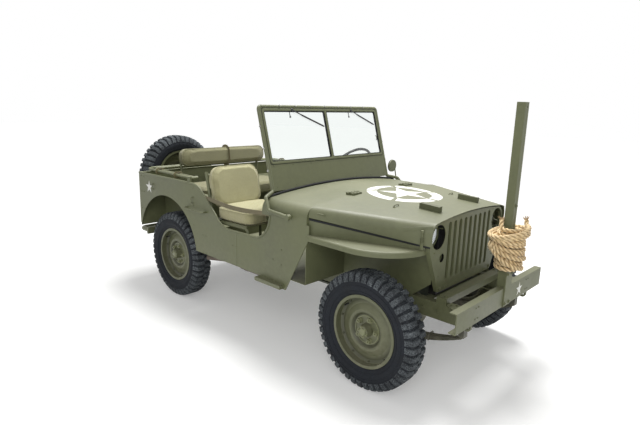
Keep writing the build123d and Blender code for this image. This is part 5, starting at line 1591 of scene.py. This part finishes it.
def driving_gear():
    """Horn button, column clamp, pedal treads, lever gaiters, mirror face and floor ribs."""
    top, foot = at(-1070, 430, 1105), at(-240, 330, 588)
    turn = (top - foot).normalized().to_track_quat("Z", "Y").to_matrix().to_4x4()
    button = [(0.004, 0.0003), (0.004, 0.026), (0.009, 0.026), (0.011, 0.018), (0.013, 0.017), (0.018, 0.012),
              (0.0195, 0.0003)]
    place = Matrix.Translation(top) @ turn
    lathed("horn_button", button, place, "black_steel", 32, "Z", body="steering_wheel")
    clamp = [(-0.006, 0.0195), (-0.006, 0.026), (0.020, 0.026), (0.020, 0.0195)]
    lathed("column_clamp", clamp, Matrix.Translation(foot.lerp(top, 0.62)) @ turn, "body_paint", 28, "Z")
    treads = Form()
    for y in (300, 450, 540):
        place = placed(at(-645, y, 696), 0, -50)
        for i in range(7):
            bar = place @ Matrix.Translation((-0.028 + 0.0093 * i, 0, 0.0048))
            treads.add(*block((0.005, 0.056, 0.003), 0.0008), bar)
    make("pedal_treads", treads, "seal_rubber", smooth=40.0)
    folds = [(0.0, 0.0003), (0.0, 0.034)]
    for i in range(5):
        folds += [(0.006 + 0.007 * i, 0.033 - 0.0042 * i), (0.010 + 0.007 * i, 0.027 - 0.0038 * i)]
    folds += [(0.046, 0.0003)]
    boots = Form()
    for x, y in ((-820, 0), (-880, -70), (-880, -110)):
        boots.add(*turned(folds, 24, "Z"), placed(at(x, y, 543.4)))
    make("lever_boots", boots, "seal_rubber")
    face = [(-0.0004, 0.0003), (-0.0004, 0.0465), (-0.0012, 0.0460), (-0.0022, 0.030), (-0.0028, 0.0003)]
    lathed("mirror_glass", face, placed(at(-860, 735, 1137)), "mirror_face", smooth=60.0)
    rim = [(0.0, 0.0462), (0.0, 0.0520), (-0.004, 0.0515), (-0.0045, 0.0480)]
    lathed("mirror_rim", rim, placed(at(-859, 735, 1137)), "black_steel")
    section = [(-0.009, -0.002), (0.009, -0.002), (0.006, 0.0022), (-0.006, 0.0022)]
    ribs = Form()
    for places, rear, front, z in FLOOR_RIBS:
        for y in places:
            line = [at(rear, y, z - 1.8), at(rear + 8, y, z), at(front - 8, y, z), at(front, y, z - 1.8)]
            ribs.add(*tube(line, 0, section=section))
    make("floor_ribs", ribs, "body_paint", smooth=40.0)


def straps():
    """Webbing straps with stitched ends and hooks across the doors, and wraps on the folded bows."""
    line = [(-744, 933), (-800, 932), (-920, 921), (-1040, 913.5), (-1150, 911), (-1250, 914), (-1400, 926),
            (-1556, 940)]
    webs, hooks, wraps, buckles = Form(), Form(), Form(), Form()
    rows = []
    for side in SIDES:
        inward = Vector((0, -side, 0))
        path = evenly(softened([at(x, side * 734.7, z) for x, z in line], 4), 0.01)
        webs.add(*tube(path, 0, section=round_cornered(0.0017, 0.0155, 0.0012, 2)))
        for lift in (-0.0125, 0.0125):
            rows += [[point + Vector((0, face * 0.0019, lift)) for point in path] for face in (-1, 1)]
        for end, inner in ((path[0], path[7]), (path[-1], path[-8])):
            way = (end - inner).normalized()
            doubled = [inner + inward * 0.0032, end + inward * 0.0032 - way * 0.004]
            webs.add(*tube(doubled, 0, section=round_cornered(0.0014, 0.0150, 0.0011, 2)))
            shift = inward * 0.0016
            for lift in (Vector((0, 0, -0.011)), Vector((0, 0, 0.011))):
                rows.append([doubled[0] + shift + lift, doubled[1] + shift - lift])
            loop = round_cornered(0.007, 0.019, 0.004, 3)
            ring = [end + way * 0.004 + way * x + Vector((0, 0, z)) for x, z in loop]
            hooks.add(*tube(ring, 0.0022, 8, closed=True))
        for x in (-1930, -2210):
            loop = round_cornered(0.0315, 0.0148, 0.0146, 8)
            ring = [at(x, side * BOW_Y, 1048) + Vector((0, y, z)) for y, z in loop]
            section = round_cornered(0.0115, 0.0009, 0.0007, 2)
            wraps.add(*tube(ring, 0, closed=True, section=section, up=Vector((1, 0, 0))))
            loop = round_cornered(0.014, 0.010, 0.003, 3)
            ring = [at(x, side * BOW_Y, 1064.5) + Vector((along, across, 0)) for along, across in loop]
            buckles.add(*tube(ring, 0.0016, 8, closed=True))
    make("door_webbing", webs, "band_webbing", replaced=["door_straps"])
    make("strap_hooks", hooks, "black_steel")
    stitches("strap_stitches", rows)
    make("bow_wraps", wraps, "band_webbing", "top_bows")
    make("bow_buckles", buckles, "black_steel", "top_bows")


instruments()
driving_gear()
straps()


# Front, springs and running gear
def radiator_core():
    """Upright fins, the tanks above and below them, and the filler cap."""
    points, faces = block((0.0035, 0.0007, 0.360), 0.0001)
    mesh = plain_mesh("fin", [Vector(point) + at(210.6, -262, 790) for point in points], faces)
    fins = grow("radiator_fins", mesh, "row", "radiator_black", Count=118, Step=(0, 0.0045, 0))
    settle(fins, "radiator_black", smooth=30.0)
    cap = [(0.0, 0.0003), (0.0, 0.024), (0.008, 0.026), (0.020, 0.026), (0.024, 0.018), (0.026, 0.0003)]
    tanks = Form()
    for z in (606, 975):
        tanks.add(*strip([at(212, -268, z), at(212, 268, z)], 0.020, 0.006, (1, 0, 0)))
    tanks.add(*turned(cap, 28, "Z"), placed(at(180, 0, 1000)))
    make("radiator_tanks", tanks, "radiator_black", smooth=40.0)


def front_bolts():
    """Bolts of the bumper, gussets, post, grille and frame."""
    forward, upward = Vector((1, 0, 0)), Vector((0, 0, 1))
    spots = []
    for side in SIDES:
        for x, y in ((470, 340), (470, 420), (400, 340), (375, 362), (300, 346), (335, 346)):
            spots.append((at(x, side * y, 545.2 if x > 352 else 580.2), upward))
        spots.append((at(270.2, side * 318, 610), forward))
        rail_places = (300, 200, -120, -700, -820, -1290, -2380)
        spots += [(at(x, side * 371.2, 490), Vector((0, side, 0))) for x in rail_places]
        spots += [(at(-2477, side * y, 462), Vector((-1, 0, 0))) for y in (300, 420)]
    studs("frame_bolts", spots, "body_paint", 0.017, 0.009, 6, 1.45)
    spots = [(at(535.2, y, z), forward) for y in (0, 56) for z in (505, 690)]
    spots += [(at(527.2, 25, z), forward) for z in (740, 1100)]
    studs("post_bolts", spots, "post_paint", 0.017, 0.009, 6, 1.4)
    spots = [(at(270.2, y, 604), forward) for y in (-240, -120, 0, 120, 240)]
    spots += [(at(527.1, side * y, z), forward) for side in SIDES for y in (330, 362) for z in (512, 578)]
    spots += [(at(270.2, side * y, z), forward) for side in SIDES for y, z in ((345, 690), (408, 842))]
    rivets("front_rivets", spots, 0.010, 0.0035)
    fenders = []
    for side, word in WORDED_SIDES:
        skin = skin_of(f"fender_{word}")
        for x, y in ((-330, 700), (-200, 700), (-330, 560), (100, 520)):
            fenders.append(landed(skin, at(x, side * y, 900), (0, 0, -1)))
    rivets("fender_rivets", fenders, 0.011, 0.0032)


SPRING_HALF = 460.0
SPRING_Y = 346.0
SPRING_END_Z, SPRING_MIDDLE_Z = 380.0, 302.0
LEAF = 4.7
BOLT_LOW, BOLT_HIGH = 262.0, 402


def springs():
    """Leaves of the four springs, their clips and the two U bolts at each axle."""
    leaves, clips = Form(), Form()
    nuts = []
    for axle_x, side in [(x, side) for x in (0.0, -WHEELBASE) for side in SIDES]:

        def on_spring(along, lift, across=0.0):
            """A place on this spring's top line, lifted or lowered."""
            top = SPRING_MIDDLE_Z + (SPRING_END_Z - SPRING_MIDDLE_Z) * (along / SPRING_HALF) ** 2
            return at(axle_x + along, side * (SPRING_Y + across), top + lift)

        for i in range(7):
            depth = LEAF * i
            half = SPRING_HALF * math.sqrt(max(0.0, 1 - max(0.0, depth + LEAF - 9.5) / 28.5))
            path = [on_spring((j / 8 - 1) * half, -depth - LEAF / 2) for j in range(17)]
            leaves.add(*tube(path, 0, section=round_cornered(0.0230, LEAF * 0.43 * MM, 0.0012, 1)))
        for share in (-0.55, 0.55):
            middle = on_spring(share * SPRING_HALF, -12)
            ring = [middle + Vector((0, y, z)) for y, z in round_cornered(0.0255, 0.0165, 0.003, 2)]
            section = round_cornered(0.008, 0.0016, 0.001, 1)
            clips.add(*tube(ring, 0, closed=True, section=section, up=Vector((1, 0, 0))))
        for shift in (-28, 28):
            legs = [(-30, BOLT_LOW), (-30, BOLT_HIGH), (30, BOLT_HIGH), (30, BOLT_LOW)]
            bow = [at(axle_x + shift, side * (SPRING_Y + y), z) for y, z in legs]
            clips.add(*tube(rounded(bow, 0.025, 6), 0.0055, 10))
            for y in (-30, 30):
                nuts.append((at(axle_x + shift, side * (SPRING_Y + y), BOLT_LOW + 2), Vector((0, 0, -1))))
    make("spring_leaves", leaves, "spring_steel", smooth=30.0)
    make("spring_clips", clips, "spring_steel", smooth=40.0)
    studs("spring_nuts", nuts, "running_gear", 0.018, 0.012, 6, 1.4)


def axle_fittings():
    """Cover bolts of the axles and the exhaust's bands."""
    spots = []
    for axle, x, way in (("rear_axle", -WHEELBASE, -1), ("front_axle", 0, 1)):
        skin = skin_of(axle)
        for across, up in circle(92.0, 10, 0.3):
            spots.append(landed(skin, at(x, -190 + across, 358 + up), (-way, 0, 0)))
    studs("axle_cover_bolts", spots, "running_gear", 0.015, 0.008, 6, 1.3)
    ring = [(-0.011, 0.0618), (-0.011, 0.0645), (0.011, 0.0645), (0.011, 0.0618)]
    bands = Form()
    for x in (-1235, -925):
        bands.add(*turned(ring, 48, "X"), placed(at(x, -520, 440)))
    make("exhaust_bands", bands, "exhaust_steel")


radiator_core()
front_bolts()
springs()
axle_fittings()


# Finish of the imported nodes
def finish_nodes():
    """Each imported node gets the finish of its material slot, but for the wheels and the post."""
    slots = {part["node"]: part["material_slot"] for part in frame["record"]["subparts"]}
    special = {wheel_node: f"wheel_paint_{spot}" for spot, (_, wheel_node, _, _) in WHEELS.items()}
    special["wire_cutter"] = "post_paint"
    for name, part in frame["nodes"].items():
        finish = FINISH.get(special.get(name, slots[name]), FINISH["body_paint"])
        for index in range(len(part.material_slots)):
            part.material_slots[index].material = finish


finish_nodes()


# Floor, light and camera
CAMERA_AT = (2.7945, -2.865, 1.660)
CAMERA_AHEAD = Vector((-0.66541, 0.71509, -0.21422))
CAMERA_RIGHT = Vector((0.72726, 0.68572, 0.03000))
CAMERA_LENS = 28.547
WHITE_RAYS = ("Is Camera Ray", "Is Glossy Ray", "Is Transmission Ray")


def seen_directly(tree):
    """1 for rays that come straight, mirrored or through glass to the viewer."""
    rays = node(tree, "ShaderNodeLightPath").outputs
    share = rays[WHITE_RAYS[0]]
    for name in WHITE_RAYS[1:]:
        share = times(tree, share, rays[name], "MAXIMUM")
    return share


def stage():
    """A plain pale floor."""
    points, faces = rings([[(x, y, z) for x, y in circle(30.0, 64)] for z in (-0.02, -0.0005)])
    floor = shown("floor", plain_mesh("floor", points, faces))
    material, tree, shader = new_finish("pale_floor", 0.9)
    shader.inputs["Base Color"].default_value = (0.80, 0.80, 0.79, 1)
    away = node(tree, "ShaderNodeVectorMath", {0: object_place(tree)}, operation="LENGTH").outputs["Value"]
    lift = times(tree, seen_directly(tree), spread(tree, away, 2.5, 9.0, 0.24, 0.62))
    tree.links.new(lift, shader.inputs["Emission Strength"])
    shader.inputs["Emission Color"].default_value = (1, 1, 1, 1)
    floor.data.materials.append(material)


def sky():
    """Even pale surroundings, white where they are seen directly."""
    world = bpy.data.worlds.new("surroundings")
    world.use_nodes = True
    tree = world.node_tree
    background = tree.nodes["Background"]
    strength = spread(tree, seen_directly(tree), 0.0, 1.0, 0.42, 1.0)
    tree.links.new(strength, background.inputs["Strength"])
    background.inputs["Color"].default_value = (1, 1, 1, 1)
    bpy.context.scene.world = world


def soft_light(name, place, target, size, power):
    """A wide soft lamp."""
    lamp = bpy.data.lights.new(name, "AREA")
    lamp.shape = "DISK"
    lamp.size = size
    lamp.energy = power
    turn = (Vector(target) - Vector(place)).to_track_quat("-Z", "Y").to_matrix().to_4x4()
    shown(name, lamp).matrix_world = Matrix.Translation(place) @ turn


def camera():
    """The photograph's view."""
    lens = bpy.data.cameras.new("camera")
    lens.lens = CAMERA_LENS
    lens.sensor_width = 36.0
    holder = shown("camera", lens)
    ahead = CAMERA_AHEAD.normalized()
    right = (CAMERA_RIGHT - ahead * CAMERA_RIGHT.dot(ahead)).normalized()
    up = right.cross(ahead)
    holder.matrix_world = Matrix.Translation(CAMERA_AT) @ Matrix((right, up, -ahead)).transposed().to_4x4()
    bpy.context.scene.camera = holder


stage()
sky()
soft_light("high_light", (-0.5, 1.0, 5.5), (0, 0, 0.6), 3.0, 420)
soft_light("side_light", (3.5, -4.5, 3.2), (0, 0, 0.6), 3.0, 95)
camera()
bpy.context.scene.view_settings.view_transform = "Standard"
